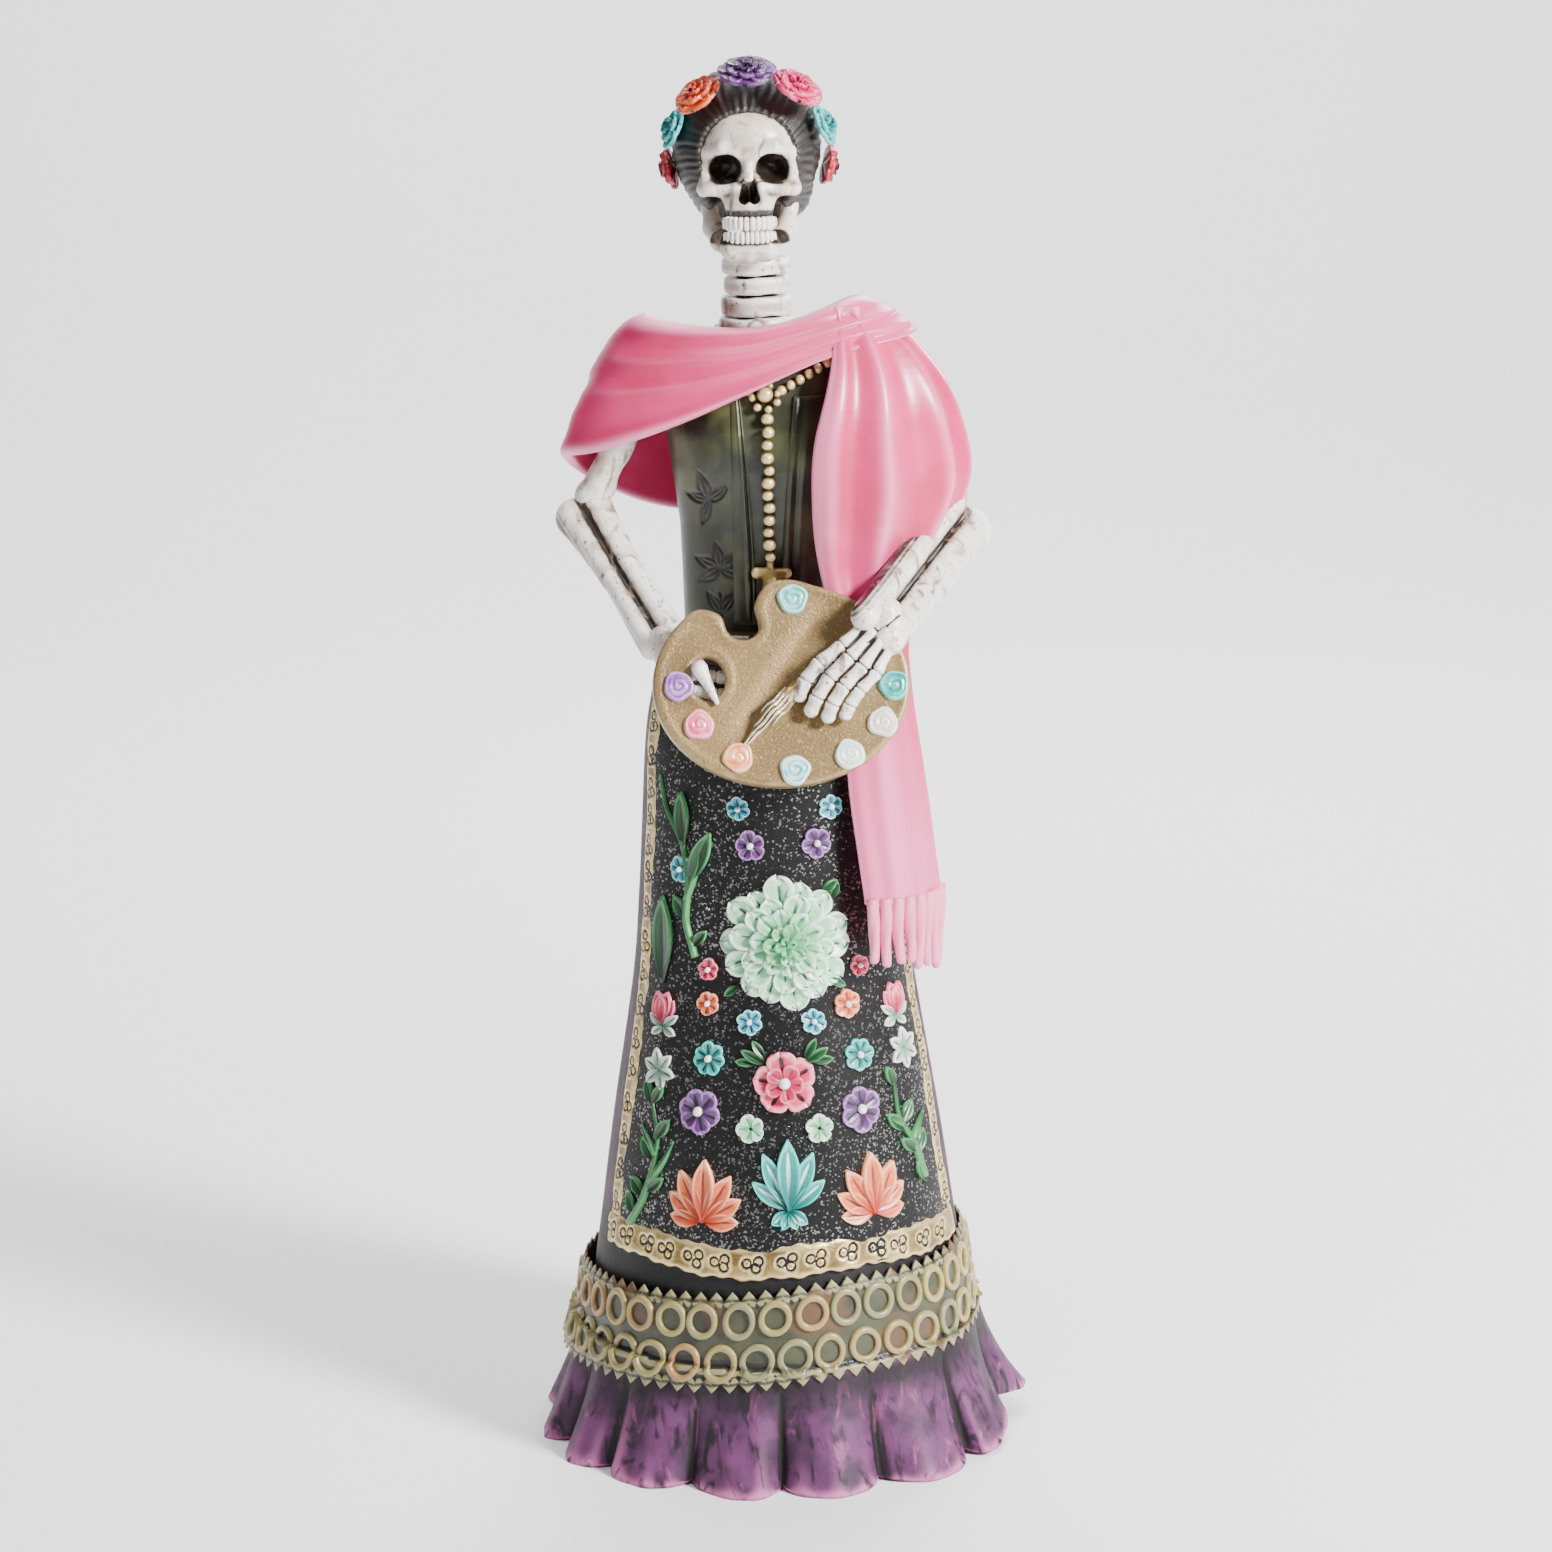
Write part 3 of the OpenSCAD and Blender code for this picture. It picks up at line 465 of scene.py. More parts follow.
lace_paint, tree, shader, colour = painted(
    "lace_paint", (0.055, 0.06, 0.028), (0.02, 0.024, 0.014), (0.30, 0.27, 0.13),
    roughness=0.45, coat=0.15, blotch_mm=10.0, groove_from=0.3, groove_to=0.5, grain_depth=0.1)
rust = grey(tree, noise(tree, 16.0, 2.0), 0.54, 0.66)
tree.links.new(mix(tree, rust, colour, (0.10, 0.05, 0.018)), shader.inputs["Base Color"])

steps = lace_count * 6
angle = np.linspace(0, 2 * math.pi, steps, endpoint=False)[:, None]
tooth = np.abs((np.arange(steps)[:, None] / 6.0) % 1.0 - 0.5) * 2
share = np.linspace(1, -1, 40)[None, :]
rise = share * (half_height - 2.6 * tooth * np.abs(share) ** 6)
cord = 0.35 * np.exp(-((np.abs(rise) - half_height + 3.4) / 0.45) ** 2)
pick = (0.3 * np.maximum(0, np.cos(2 * math.pi * np.arange(steps)[:, None] / 3))
        * (np.abs(np.abs(rise) - 10.0) < 0.8))
thick = 0.9 + cord - pick - 0.35 * np.abs(share) ** 8
build("lace_strip", *shell(on_lace(angle, rise, thick), on_lace(angle, rise, 0 * thick), ring=True),
      lace_paint, "lace_paint", ["lace_band"], form=(4, 0.12))

ring_paint, tree, shader, colour = painted(
    "ring_paint", (0.17, 0.135, 0.05), (0.08, 0.07, 0.03), (0.44, 0.38, 0.18),
    roughness=0.38, coat=0.25, blotch_mm=5.0, groove_from=0.3, groove_to=0.5, light_from=0.58, light_to=0.8)
tint = ramp(tree, attribute(tree, "tone"), (0.0, (0.36, 0.085, 0.022)), (0.22, (0.27, 0.145, 0.04)),
            (0.5, (0.22, 0.185, 0.045)), (0.75, (0.09, 0.115, 0.06)), (1.0, (0.40, 0.30, 0.07)))
tree.links.new(mix(tree, 0.62, colour, tint), shader.inputs["Base Color"])

rim = np.linspace(0, 2 * math.pi, 36, endpoint=False)[:, None]
section = np.array([[-0.95, 0.0], [-0.92, 0.8], [-0.6, 1.15], [0.0, 1.25], [0.6, 1.15], [0.92, 0.8],
                    [0.95, 0.0]])
ring_parts, ring_tones = [], []
for row, rise in ((0, 5.9), (1, -5.9)):
    for k in range(rings_in_row):
        turn = (k + 0.5 * row) * 2 * math.pi / rings_in_row + luck.uniform(-0.008, 0.008)
        mean_radius = 4.25 + luck.uniform(-0.12, 0.12)
        stretch = 1 + luck.uniform(-0.05, 0.05)
        radius = mean_radius + section[None, :, 0]
        x = radius * np.cos(rim) * stretch
        y = radius * np.sin(rim) / stretch
        height = 0.85 + section[None, :, 1] + 0 * x
        top = on_lace(turn + x / ring_line_r, rise + y, height)
        low = on_lace(turn + x / ring_line_r, rise + y, height * 0 + 0.6)
        part = shell(top, low, ring=True)
        ring_parts.append(part)
        shade = 0.5 - 0.5 * np.sin(turn) * -0.5 + luck.uniform(-0.3, 0.3)
        ring_tones.append(np.full(len(part[0]), np.clip(shade, 0, 1)))
build("pasted_rings", *gather(ring_parts), ring_paint, "ring_paint", ["lace_rings"], form=(3, 0.3),
      tone=np.concatenate(ring_tones))

# ---------------------------------------------------------------------------
# Apron: a panel of card pasted over the front of the skirt, painted black and strewn with silver glitter
# Gold leaf trims with pressed circles are pasted down both sides and along its foot.
# ---------------------------------------------------------------------------
apron_low, apron_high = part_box("apron_panel")
apron_foot, apron_top = apron_low.z / MM, apron_high.z / MM
wrap_right, wrap_left = math.radians(-65), math.radians(70)
apron_face = 1.3


def on_apron(angle, z, proud):
    """A point proud of the apron's face, by angle from the front."""
    return around(angle, skirt_r(z) + apron_face + proud, z)


glitter, tree, shader = new_material("black_glitter", 0.5)
shader.inputs["Specular IOR Level"].default_value = 0.3
coordinate = tree.nodes.new("ShaderNodeTexCoord")
grains = tree.nodes.new("ShaderNodeTexVoronoi")
grains.inputs["Scale"].default_value = 1000 / 0.5
tree.links.new(coordinate.outputs["Object"], grains.inputs["Vector"])
split = tree.nodes.new("ShaderNodeSeparateColor")
tree.links.new(grains.outputs["Color"], split.inputs["Color"])
drift = grey(tree, noise(tree, 14.0, 3.0), 0.35, 0.7)
crowd = tree.nodes.new("ShaderNodeMath")
crowd.operation = "MULTIPLY_ADD"
crowd.inputs[1].default_value = 0.14
tree.links.new(drift, crowd.inputs[0])
tree.links.new(split.outputs["Red"], crowd.inputs[2])
spark = grey(tree, crowd.outputs[0], 0.92, 0.99)
tree.links.new(mix(tree, spark, (0.0025, 0.0025, 0.003), (0.27, 0.27, 0.27)), shader.inputs["Base Color"])
tree.links.new(spark, shader.inputs["Metallic"])
tree.links.new(ramp(tree, spark, (0.0, (0.42, 0.42, 0.42)), (1.0, (0.24, 0.24, 0.24))),
               shader.inputs["Roughness"])
bump(tree, shader, split.outputs["Green"], 0.09)

angle = np.linspace(wrap_right, wrap_left, 150)[:, None]
height = np.linspace(apron_foot, apron_top, 180)[None, :]
crease = 0.16 * np.sin(7 * angle + height / 19) + 0.12 * np.sin(height / 6.5 + 5 * angle) * np.sin(angle * 4)
build("apron", *shell(around(angle, skirt_r(height) + apron_face + crease, height),
                      around(angle, skirt_r(height) + 0.15, height) + 0 * crease[..., None]),
      glitter, "black_glitter", ["apron_panel"], form=None)

gold_leaf, tree, shader, colour = painted(
    "gold_leaf", (0.36, 0.25, 0.08), (0.17, 0.105, 0.03), (0.76, 0.59, 0.27), groove_colour=(0.012, 0.008, 0.004),
    roughness=0.33, coat=0.2, blotch_mm=6.0, groove_from=0.26, groove_to=0.44, light_from=0.53, light_to=0.72,
    grain_mm=0.9, grain_depth=0.22, metallic=0.55)


def trim(length, wide, start, across_mm, seed):
    """A ragged strip of leaf with groups of three small circles pressed into it."""
    dice = np.random.default_rng(seed)
    along = np.linspace(0, length, int(length / 0.42))[:, None]
    share = np.linspace(-1, 1, int(wide / 0.36))[None, :]
    ragged = 0.07 * np.sin(along / 2.3 + seed) + 0.06 * np.sin(along / 0.9 + 2 * seed)
    side = share * wide / 2 * (1 + ragged * np.abs(share) ** 3)
    crumple = (0.16 * np.sin(along / 5.3 + 1.3 * np.sin(side / 3 + along / 13))
               + 0.07 * np.sin(side / 1.5 + along / 6.1)
               + 0.05 * np.sin(along / 1.9 + side / 1.1 + 2 * np.sin(along / 7)))
    pressed = np.zeros_like(crumple)
    centre = 3.0
    while centre < length - 3:
        for k in range(3):
            u = centre + 2.0 * math.cos(k * 2.1 + seed) + dice.uniform(-0.25, 0.25)
            v = across_mm * math.sin(k * 2.1 + seed) + dice.uniform(-0.2, 0.2)
            gap = np.hypot(along - u, side - v)
            pressed -= 0.5 * np.exp(-((gap - 1.25) / 0.3) ** 2) + 0.25 * np.exp(-(gap / 0.45) ** 2)
        centre += dice.uniform(7.5, 10.5)
    proud = 0.95 + crumple + pressed - 0.5 * np.abs(share) ** 6
    return shell(start(along, side, proud), start(along, side, 0 * proud - 0.1))


foot_r = float(skirt_r(apron_foot)) + apron_face
foot_over = math.radians(3)
foot = trim((wrap_left - wrap_right + 2 * foot_over) * foot_r, 9.0,
            lambda u, v, h: on_apron(u / foot_r + wrap_right - foot_over,
                                     apron_foot + 3.0 + v + 0.9 * np.sin(u / 11), h - 0.6), 1.3, 3)
build("gold_hem_trim", *foot, gold_leaf, "gold_paint", ["apron_hem_trim"], form=(4, 0.16))
side_parts = [
    trim(apron_top - apron_foot - 8, 6.4,
         lambda u, v, h, s=s: on_apron((wrap_right if s < 0 else wrap_left) - s * math.radians(0.6)
                                       + v / (skirt_r(apron_foot + 8 + u) + 1),
                                       apron_foot + 8 + u, h - 0.6), 1.1, 5 + s)
    for s in (-1, 1)
]
build("gold_side_trims", *gather(side_parts), gold_leaf, "gold_paint", ["apron_side_trims"], form=(4, 0.16))

# ---------------------------------------------------------------------------
# Flowers of the apron: pulp petals pressed and veined while damp, pasted in layers on the apron
# Each colour of flower is one piece; every petal is a closed blade that sits in the one below it.
# ---------------------------------------------------------------------------
def petal(length, width, lift=(0.5, 1.2), cup=0.5, vein=0.35, notch=0.0, peak=0.6, point=0.5, thick=0.9,
          fine=1.0, frill=0.0):
    """One petal along +Y from the origin: grids of its top and underside, and tone from 0 at its root."""
    s = np.linspace(0, 1, int(12 * fine))[:, None]
    t = np.linspace(-1, 1, int(10 * fine) | 1)[None, :]
    swell = np.sin(math.pi * np.clip(s, 0, 1) ** (math.log(0.5) / math.log(peak))) ** point
    half = width / 2 * np.maximum(swell, 0.06 + 0.1 * (1 - s))
    x = t * half
    y = length * s * (1 - notch * s**5 * np.exp(-((t / 0.4) ** 2)))
    top = (lift[0] + (lift[1] - lift[0]) * s
           + cup * np.abs(t) ** 2.2 * np.sin(math.pi * np.clip(s * 0.9 + 0.1, 0, 1)))
    top = top - vein * np.exp(-((t / 0.16) ** 2)) * np.sin(math.pi * np.clip(0.08 + s * 0.86, 0, 1))
    y = y + frill * np.sin(9 * t + length) * s**4
    top = top + 0 * x + frill * 0.7 * np.sin(7 * t + 2 * width) * s**2
    return x, y + 0 * x, top, top - thick, np.broadcast_to(s, x.shape)


def bloom(layers, turn=0.0, seed=1, loose=0.07):
    """Layers of petals about a middle. Each layer is (count, start radius, petal settings)."""
    dice = np.random.default_rng(seed)
    parts = []
    for index, (count, start, settings) in enumerate(layers):
        for k in range(count):
            x, y, top, low, tone = petal(**settings)
            size = 1 + dice.uniform(-loose, loose)
            a = turn + 2 * math.pi * (k + 0.5 * (index % 2)) / count + dice.uniform(-loose, loose)
            tilt = dice.uniform(-loose, loose) * 3 * (top - top.min())
            y = start + y * size
            parts.append((x * size * math.cos(a) - y * math.sin(a), x * size * math.sin(a) + y * math.cos(a),
                          top + tilt, low, np.clip((start + tone * settings["length"]) / 1.0, 0, None)))
    reach = max(part[4].max() for part in parts)
    return [(x, y, top, low, tone / reach) for x, y, top, low, tone in parts]


def bead(radius, height, base=0.0):
    """A low dome in the middle of a flower."""
    a = np.linspace(0, 2 * math.pi, 18)[:, None]
    b = np.linspace(0.02, math.pi / 2, 7)[None, :]
    x, y = radius * np.cos(a) * np.sin(b), radius * np.sin(a) * np.sin(b)
    return [(x, y, base + height * np.cos(b) + 0 * x, base - 0.5 + 0 * x, np.ones_like(x))]


def pasted(parts, x0, z0, turn=0.0):
    """Solids and tones of flower parts laid on the apron about x0 and z0."""
    centre = math.asin(x0 / (float(skirt_r(z0)) + apron_face))
    solids, tones = [], []
    for x, y, top, low, tone in parts:
        u = x * math.cos(turn) - y * math.sin(turn)
        v = x * math.sin(turn) + y * math.cos(turn)
        z = z0 + v
        a = centre + u / (skirt_r(z) + apron_face)
        solids.append(shell(on_apron(a, z, top), on_apron(a, z, low)))
        tones.append(np.concatenate([tone.ravel(), tone.ravel()]))
    return solids, tones


def pasted_piece(name, node, slot, material, groups, form=(4, 0.2)):
    """One piece from several (parts, x, z, turn)."""
    solids, tones = [], []
    for parts, x0, z0, turn in groups:
        more, shades = pasted(parts, x0, z0, turn)
        solids += more
        tones += shades
    build(name, *gather(solids), material, slot, [node], form=form, tone=np.concatenate(tones))


def flower_paint(name, root, body, tip, groove_colour=(0.006, 0.008, 0.007), roughness=0.36, edge=(0.6, 0.92),
                 darkened=(0.3, 0.46)):
    """Paint that lightens from a petal's root to its tip, with drybrushed edges."""
    material, tree, shader, colour = painted(name, body, tuple(0.75 * c for c in body), tip, groove_colour=groove_colour,
                                             roughness=roughness, coat=0.3, blotch_mm=2.5,
                                             groove_from=darkened[0], groove_to=darkened[1], light_from=edge[0],
                                             light_to=edge[1])
    tone = attribute(tree, "tone")
    tree.links.new(mix(tree, grey(tree, tone, 0.75, 0.1), colour, root), shader.inputs["Base Color"])
    return material


mint = flower_paint("mint_paint", (0.12, 0.50, 0.22), (0.38, 0.82, 0.48), (0.80, 0.98, 0.82),
                    groove_colour=(0.01, 0.10, 0.05),
                    darkened=(0.12, 0.34))
magenta = flower_paint("magenta_paint", (0.40, 0.005, 0.05), (0.82, 0.030, 0.15), (0.98, 0.27, 0.36),
                       darkened=(0.24, 0.42))
violet = flower_paint("violet_paint", (0.03, 0.005, 0.045), (0.12, 0.03, 0.19), (0.36, 0.17, 0.44))
teal = flower_paint("teal_paint", (0.0, 0.10, 0.11), (0.0, 0.36, 0.34), (0.08, 0.68, 0.62))
aqua = flower_paint("aqua_paint", (0.0, 0.15, 0.24), (0.02, 0.42, 0.56), (0.36, 0.84, 0.88))
orange = flower_paint("orange_paint", (0.52, 0.05, 0.015), (0.88, 0.17, 0.05), (1.0, 0.42, 0.22),
                      groove_colour=(0.20, 0.025, 0.008))
pale = flower_paint("white_paint", (0.18, 0.36, 0.24), (0.62, 0.78, 0.66), (0.95, 0.97, 0.94))
green = flower_paint("green_paint", (0.004, 0.035, 0.010), (0.008, 0.095, 0.024), (0.06, 0.27, 0.09))

small = dict(lift=(0.5, 0.9), cup=0.45, vein=0.4, thick=1.3, peak=0.62)
dahlia_petal = dict(cup=0.7, vein=0.55, notch=0.2, peak=0.66, point=0.55, frill=0.35, fine=1.3)
dahlia_layers = [
    (14, 8.0, dict(dahlia_petal, length=10.2, width=7.6, lift=(0.2, 0.9), thick=1.2)),
    (12, 4.6, dict(dahlia_petal, length=9.8, width=7.0, lift=(1.1, 2.1), thick=1.4)),
    (10, 2.2, dict(dahlia_petal, length=8.0, width=5.8, lift=(1.9, 3.1), thick=1.6)),
    (7, 0.5, dict(dahlia_petal, length=5.6, width=4.4, lift=(2.8, 4.0), thick=1.8)),
    (4, 0.0, dict(dahlia_petal, length=2.9, width=2.6, lift=(3.9, 4.9), thick=1.8)),
]
pasted_piece("dahlia_bloom", "dahlia", "mint_paint", mint,
             [(bloom(dahlia_layers, seed=4, loose=0.13), 3.4, 155.3, 0.1)], form=(5, 0.26))

magenta_layers = [
    (5, 0.8, dict(length=8.4, width=8.6, lift=(0.6, 1.3), cup=0.6, vein=0.35, notch=0.16, thick=1.6,
                  peak=0.64, point=0.5, frill=0.2)),
    (5, 0.6, dict(length=5.0, width=4.6, lift=(1.5, 2.3), cup=0.5, vein=0.3, notch=0.16, thick=1.4, peak=0.6,
                  point=0.6)),
]
pasted_piece("magenta_bloom", "magenta_flower", "magenta_paint", magenta,
             [(bloom(magenta_layers, seed=2), 2.4, 116.0, 0.15)])


def rows(count, radius, width, seed, notch=0.12, point=0.6):
    return bloom([(count, 0.5, dict(small, length=radius - 0.5, width=width, notch=notch, point=point))],
                 seed=seed)


pasted_piece("purple_blooms", "purple_flowers", "violet_paint", violet,
             [(rows(6, 6.6, 5.6, 11, 0.16), -21.8, 106.8, 0.3),
              (rows(6, 6.6, 5.6, 12, 0.16), 23.9, 106.4, 0.0),
              (rows(5, 4.3, 4.0, 13), -5.9, 183.0, 0.2), (rows(5, 4.3, 4.0, 14), 12.5, 183.1, 0.5)])
pasted_piece("teal_blooms", "teal_flowers", "teal_paint", teal,
             [(rows(7, 4.7, 3.4, 21), -18.6, 122.0, 0.1), (rows(7, 4.7, 3.4, 22), 23.6, 121.6, 0.3)])
pasted_piece("blue_blooms", "blue_flowers", "aqua_paint", aqua,
             [(rows(6, 3.4, 2.8, 31), -9.1, 193.4, 0.2), (rows(6, 3.6, 2.8, 32), 16.5, 193.0, 0.0),
              (rows(6, 3.9, 3.0, 33), -25.4, 174.5, 0.4), (rows(6, 3.6, 2.8, 34), -7.0, 133.0, 0.2),
              (rows(6, 3.6, 2.8, 35), 10.9, 132.7, 0.1)])
pasted_piece("mint_blooms", "mint_flowers", "mint_paint", mint,
             [(rows(5, 4.0, 3.6, 41, 0.2), -7.3, 103.0, 0.3),
              (rows(5, 4.0, 3.6, 42, 0.2), 12.0, 102.6, 0.0)])
pasted_piece("red_blooms", "red_flowers", "magenta_paint", magenta,
             [(rows(5, 3.1, 2.9, 51), -18.2, 147.0, 0.0), (rows(5, 3.1, 2.9, 52), 23.9, 146.6, 0.3)])
pasted_piece("orange_blooms", "orange_flowers", "orange_paint", orange,
             [(rows(5, 3.3, 3.0, 61), -18.5, 137.4, 0.4), (rows(6, 4.2, 3.5, 62), 20.4, 136.3, 0.0)])


def fan(blades):
    """Pointed petals that fan up from one point. Each is (angle in degrees, length, width, height)."""
    parts = []
    for degrees, length, width, height in blades:
        x, y, top, low, tone = petal(length, width, lift=(height, height + 0.5), cup=0.7, vein=0.38,
                                     peak=0.55, point=0.85, thick=1.6 + height, fine=1.4)
        a = math.radians(degrees)
        parts.append((x * math.cos(a) - y * math.sin(a), x * math.sin(a) + y * math.cos(a), top, low, tone))
    return parts


lotus = fan([(88, 10.5, 5.0, 0.3), (-88, 10.5, 5.0, 0.3), (58, 13.0, 5.6, 0.5), (-58, 13.0, 5.6, 0.5),
             (30, 15.5, 6.0, 0.8), (-30, 15.5, 6.0, 0.8), (0, 17.5, 6.4, 1.2)])
pasted_piece("lotus_blooms", "orange_lotuses", "orange_paint", orange,
             [(lotus, -21.2, 76.0, 0.0), (lotus, 27.2, 76.5, 0.0)], form=(5, 0.26))

lily_paint = flower_paint("lily_paint", (0.0, 0.16, 0.15), (0.0, 0.34, 0.31), (0.10, 0.66, 0.60),
                          groove_colour=(0.80, 0.94, 0.92),
                          darkened=(0.34, 0.5))
lily = fan([(52, 13.0, 4.4, 0.3), (-52, 13.0, 4.4, 0.3), (24, 17.5, 5.2, 0.6), (-24, 17.5, 5.2, 0.6),
            (0, 20.0, 6.4, 1.2), (128, 6.4, 3.4, 0.4), (-128, 6.4, 3.4, 0.4), (160, 5.6, 3.0, 0.6),
            (-160, 5.6, 3.0, 0.6)])
pasted_piece("lily_bloom", "teal_lily", "teal_paint", lily_paint, [(lily, 3.2, 80.0, 0.0)], form=(5, 0.26))

tulip = fan([(34, 7.6, 3.8, 0.3), (-34, 7.6, 3.8, 0.3), (14, 9.0, 4.2, 0.7), (-14, 9.0, 4.2, 0.7),
             (0, 8.0, 4.4, 1.1)])
pasted_piece("tulip_blooms", "tulips", "magenta_paint", magenta,
             [(tulip, -31.4, 129.6, 0.12), (tulip, 34.0, 130.4, -0.12)])

star = bloom([(6, 0.3, dict(length=6.0, width=3.4, lift=(0.5, 0.9), cup=0.4, vein=0.4, thick=1.3, peak=0.5,
                            point=0.8))], seed=71)
collar_leaf = fan([(60, 6.4, 2.4, 0.4), (-60, 6.4, 2.4, 0.4), (118, 5.2, 2.2, 0.4), (-118, 5.2, 2.2, 0.4)])
pasted_piece("white_lily_blooms", "white_lilies", "white_paint", pale,
             [(star, -32.9, 116.2, 0.3), (star, 36.4, 119.8, 0.0), (collar_leaf, -31.4, 128.6, 0.1),
              (collar_leaf, 34.0, 129.6, -0.1)])

bead_paint, tree, shader, colour = painted("bead_white", (0.86, 0.87, 0.82), (0.7, 0.72, 0.68),
                                           (0.98, 0.98, 0.95),
                                           roughness=0.3, coat=0.4, groove_from=0.1, groove_to=0.2)
centres = [(-21.8, 106.8, 1.35), (23.9, 106.4, 1.35), (-5.9, 183.0, 0.95), (12.5, 183.1, 0.95),
           (-18.6, 122.0, 1.0),
           (23.6, 121.6, 1.0), (-9.1, 193.4, 0.8), (16.5, 193.0, 0.9), (-25.4, 174.5, 0.85),
           (-7.0, 133.0, 0.8),
           (10.9, 132.7, 0.8), (-18.2, 147.0, 0.75), (23.9, 146.6, 0.75), (-18.5, 137.4, 0.8),
           (20.4, 136.3, 0.9),
           (2.4, 116.0, 1.7)]
pasted_piece("white_beads", "flower_centres", "white_paint", bead_paint,
             [(bead(r, 0.9 + (1.4 if r > 1.5 else 0.2), 1.0), x, z, 0.0) for x, z, r in centres])


# ---------------------------------------------------------------------------
# Vines and leaves: rolled stems and veined leaves of green pulp up both sides of the apron
# ---------------------------------------------------------------------------
def rolled_stem(way, width=1.7, proud=1.25):
    """A half-round stem along points (x, z) of the apron, rounded between them."""
    way = np.array(way, dtype=float)
    share = np.linspace(0, len(way) - 1, 14 * len(way))
    fit = np.stack([np.interp(share, np.arange(len(way)), way[:, k]) for k in (0, 1)], axis=1)
    for _ in range(12):
        fit[1:-1] = (fit[:-2] + fit[1:-1] * 2 + fit[2:]) / 4
    heading = np.gradient(fit, axis=0)
    heading /= np.linalg.norm(heading, axis=1)[:, None]
    aside = np.stack([heading[:, 1], -heading[:, 0]], axis=1)
    t = np.linspace(-1, 1, 9)
    taper = np.minimum(1, np.linspace(1.25, 0.35, len(fit)))
    x = fit[:, :1] + aside[:, :1] * t * taper[:, None] * width / 2
    z = fit[:, 1:] + aside[:, 1:] * t * taper[:, None] * width / 2
    top = proud * np.sqrt(np.maximum(0, 1 - t**2))[None, :] * taper[:, None] + 0.1
    a = np.arcsin(np.clip(x / (skirt_r(z) + apron_face), -0.97, 0.97))
    solid = shell(on_apron(a, z, top), on_apron(a, z, 0 * top - 0.6))
    return solid, np.full(len(solid[0]), 0.8)


def leaf_at(x0, z0, degrees, length, width, height=0.4):
    return pasted(fan([(degrees, length, width, height)]), x0, z0)


vine_solids, vine_tones = [], []
for way in ([(-22.0, 150), (-24.6, 160), (-23.4, 171), (-24.8, 182), (-29.5, 191), (-31.0, 200)],
            [(-24.2, 166), (-20.6, 176), (-20.2, 183)],
            [(-42.5, 70), (-38.5, 78), (-35.2, 88), (-33.6, 97), (-35.4, 108)],
            [(-36.2, 84), (-32.0, 91), (-29.2, 97)], [(-34.4, 92), (-38.6, 99)],
            [(42.0, 82), (39.5, 92), (34.8, 101), (33.4, 112)], [(38.8, 94), (42.0, 100)],
            [(35.6, 99), (31.0, 103)]):
    solid, shades = rolled_stem(way)
    vine_solids.append(solid)
    vine_tones.append(shades)
for settings in ((-31.4, 140.5, 3, 25.0, 7.6, 0.7), (-23.6, 170, -24, 17.5, 5.4, 0.6),
                 (-24.6, 181, 4, 15.5, 4.4, 0.6),
                 (-24.0, 160, 38, 8.0, 3.6, 0.4), (-22.6, 153, -42, 6.5, 3.0, 0.4),
                 (-35.0, 90, 42, 8.0, 3.6, 0.5),
                 (-34.6, 96, -36, 8.5, 3.8, 0.5), (-38.2, 79, 52, 7.5, 3.4, 0.5),
                 (-37.0, 81, -50, 7.5, 3.4, 0.5),
                 (-41.2, 73, 34, 6.5, 3.0, 0.4), (35.4, 99, -44, 8.0, 3.6, 0.5),
                 (36.4, 97, 46, 8.5, 3.8, 0.5),
                 (40.2, 89, -30, 7.5, 3.4, 0.5), (39.6, 90, 50, 7.5, 3.4, 0.5),
                 (33.6, 110, 20, 6.5, 3.2, 0.4),
                 (-35.4, 106, 25, 7.0, 3.2, 0.4), (-35.0, 106, -30, 7.0, 3.2, 0.4),
                 (42.5, 80, 24, 7.5, 3.4, 0.4)):
    more, shades = leaf_at(*settings)
    vine_solids += more
    vine_tones += shades
build("vine_stems", *gather(vine_solids), green, "green_paint", ["vines"], form=(5, 0.26),
      tone=np.concatenate(vine_tones))

sprig_solids, sprig_tones = [], []
for settings in ((-2.2, 121.0, 62, 8.5, 2.6), (-2.6, 122.4, 36, 6.5, 2.3), (-4.4, 121.6, 88, 7.0, 2.3),
                 (7.6, 121.0, -62, 8.5, 2.6), (8.0, 122.4, -34, 6.5, 2.3), (9.6, 121.6, -88, 7.0, 2.3),
                 (13.0, 168.6, -58, 6.5, 2.4), (16.0, 166.5, -28, 5.5, 2.2), (15.0, 144.4, -118, 6.0, 2.4),
                 (-9.6, 143.4, 128, 5.5, 2.2)):
    more, shades = leaf_at(*settings)
    sprig_solids += more
    sprig_tones += shades
build("sprig_leaves", *gather(sprig_solids), green, "green_paint", ["leaf_sprigs"], form=(5, 0.26),
      tone=np.concatenate(sprig_tones))

# ---------------------------------------------------------------------------
# Bodice: the body of pulp over the dowel, with two stiff fronts folded open down the middle
# Olive lacquer rubbed thin on the curves, black in the folds; flower sprigs are scratched into it.
# ---------------------------------------------------------------------------
def smooth_min(a, b, soft):
    h = np.clip(0.5 + 0.5 * (b - a) / soft, 0, 1)
    return b * (1 - h) + a * h - soft * h * (1 - h)


def cut(a, b, soft):
    """a with b carved out of it."""
    return -smooth_min(-a, b, soft)


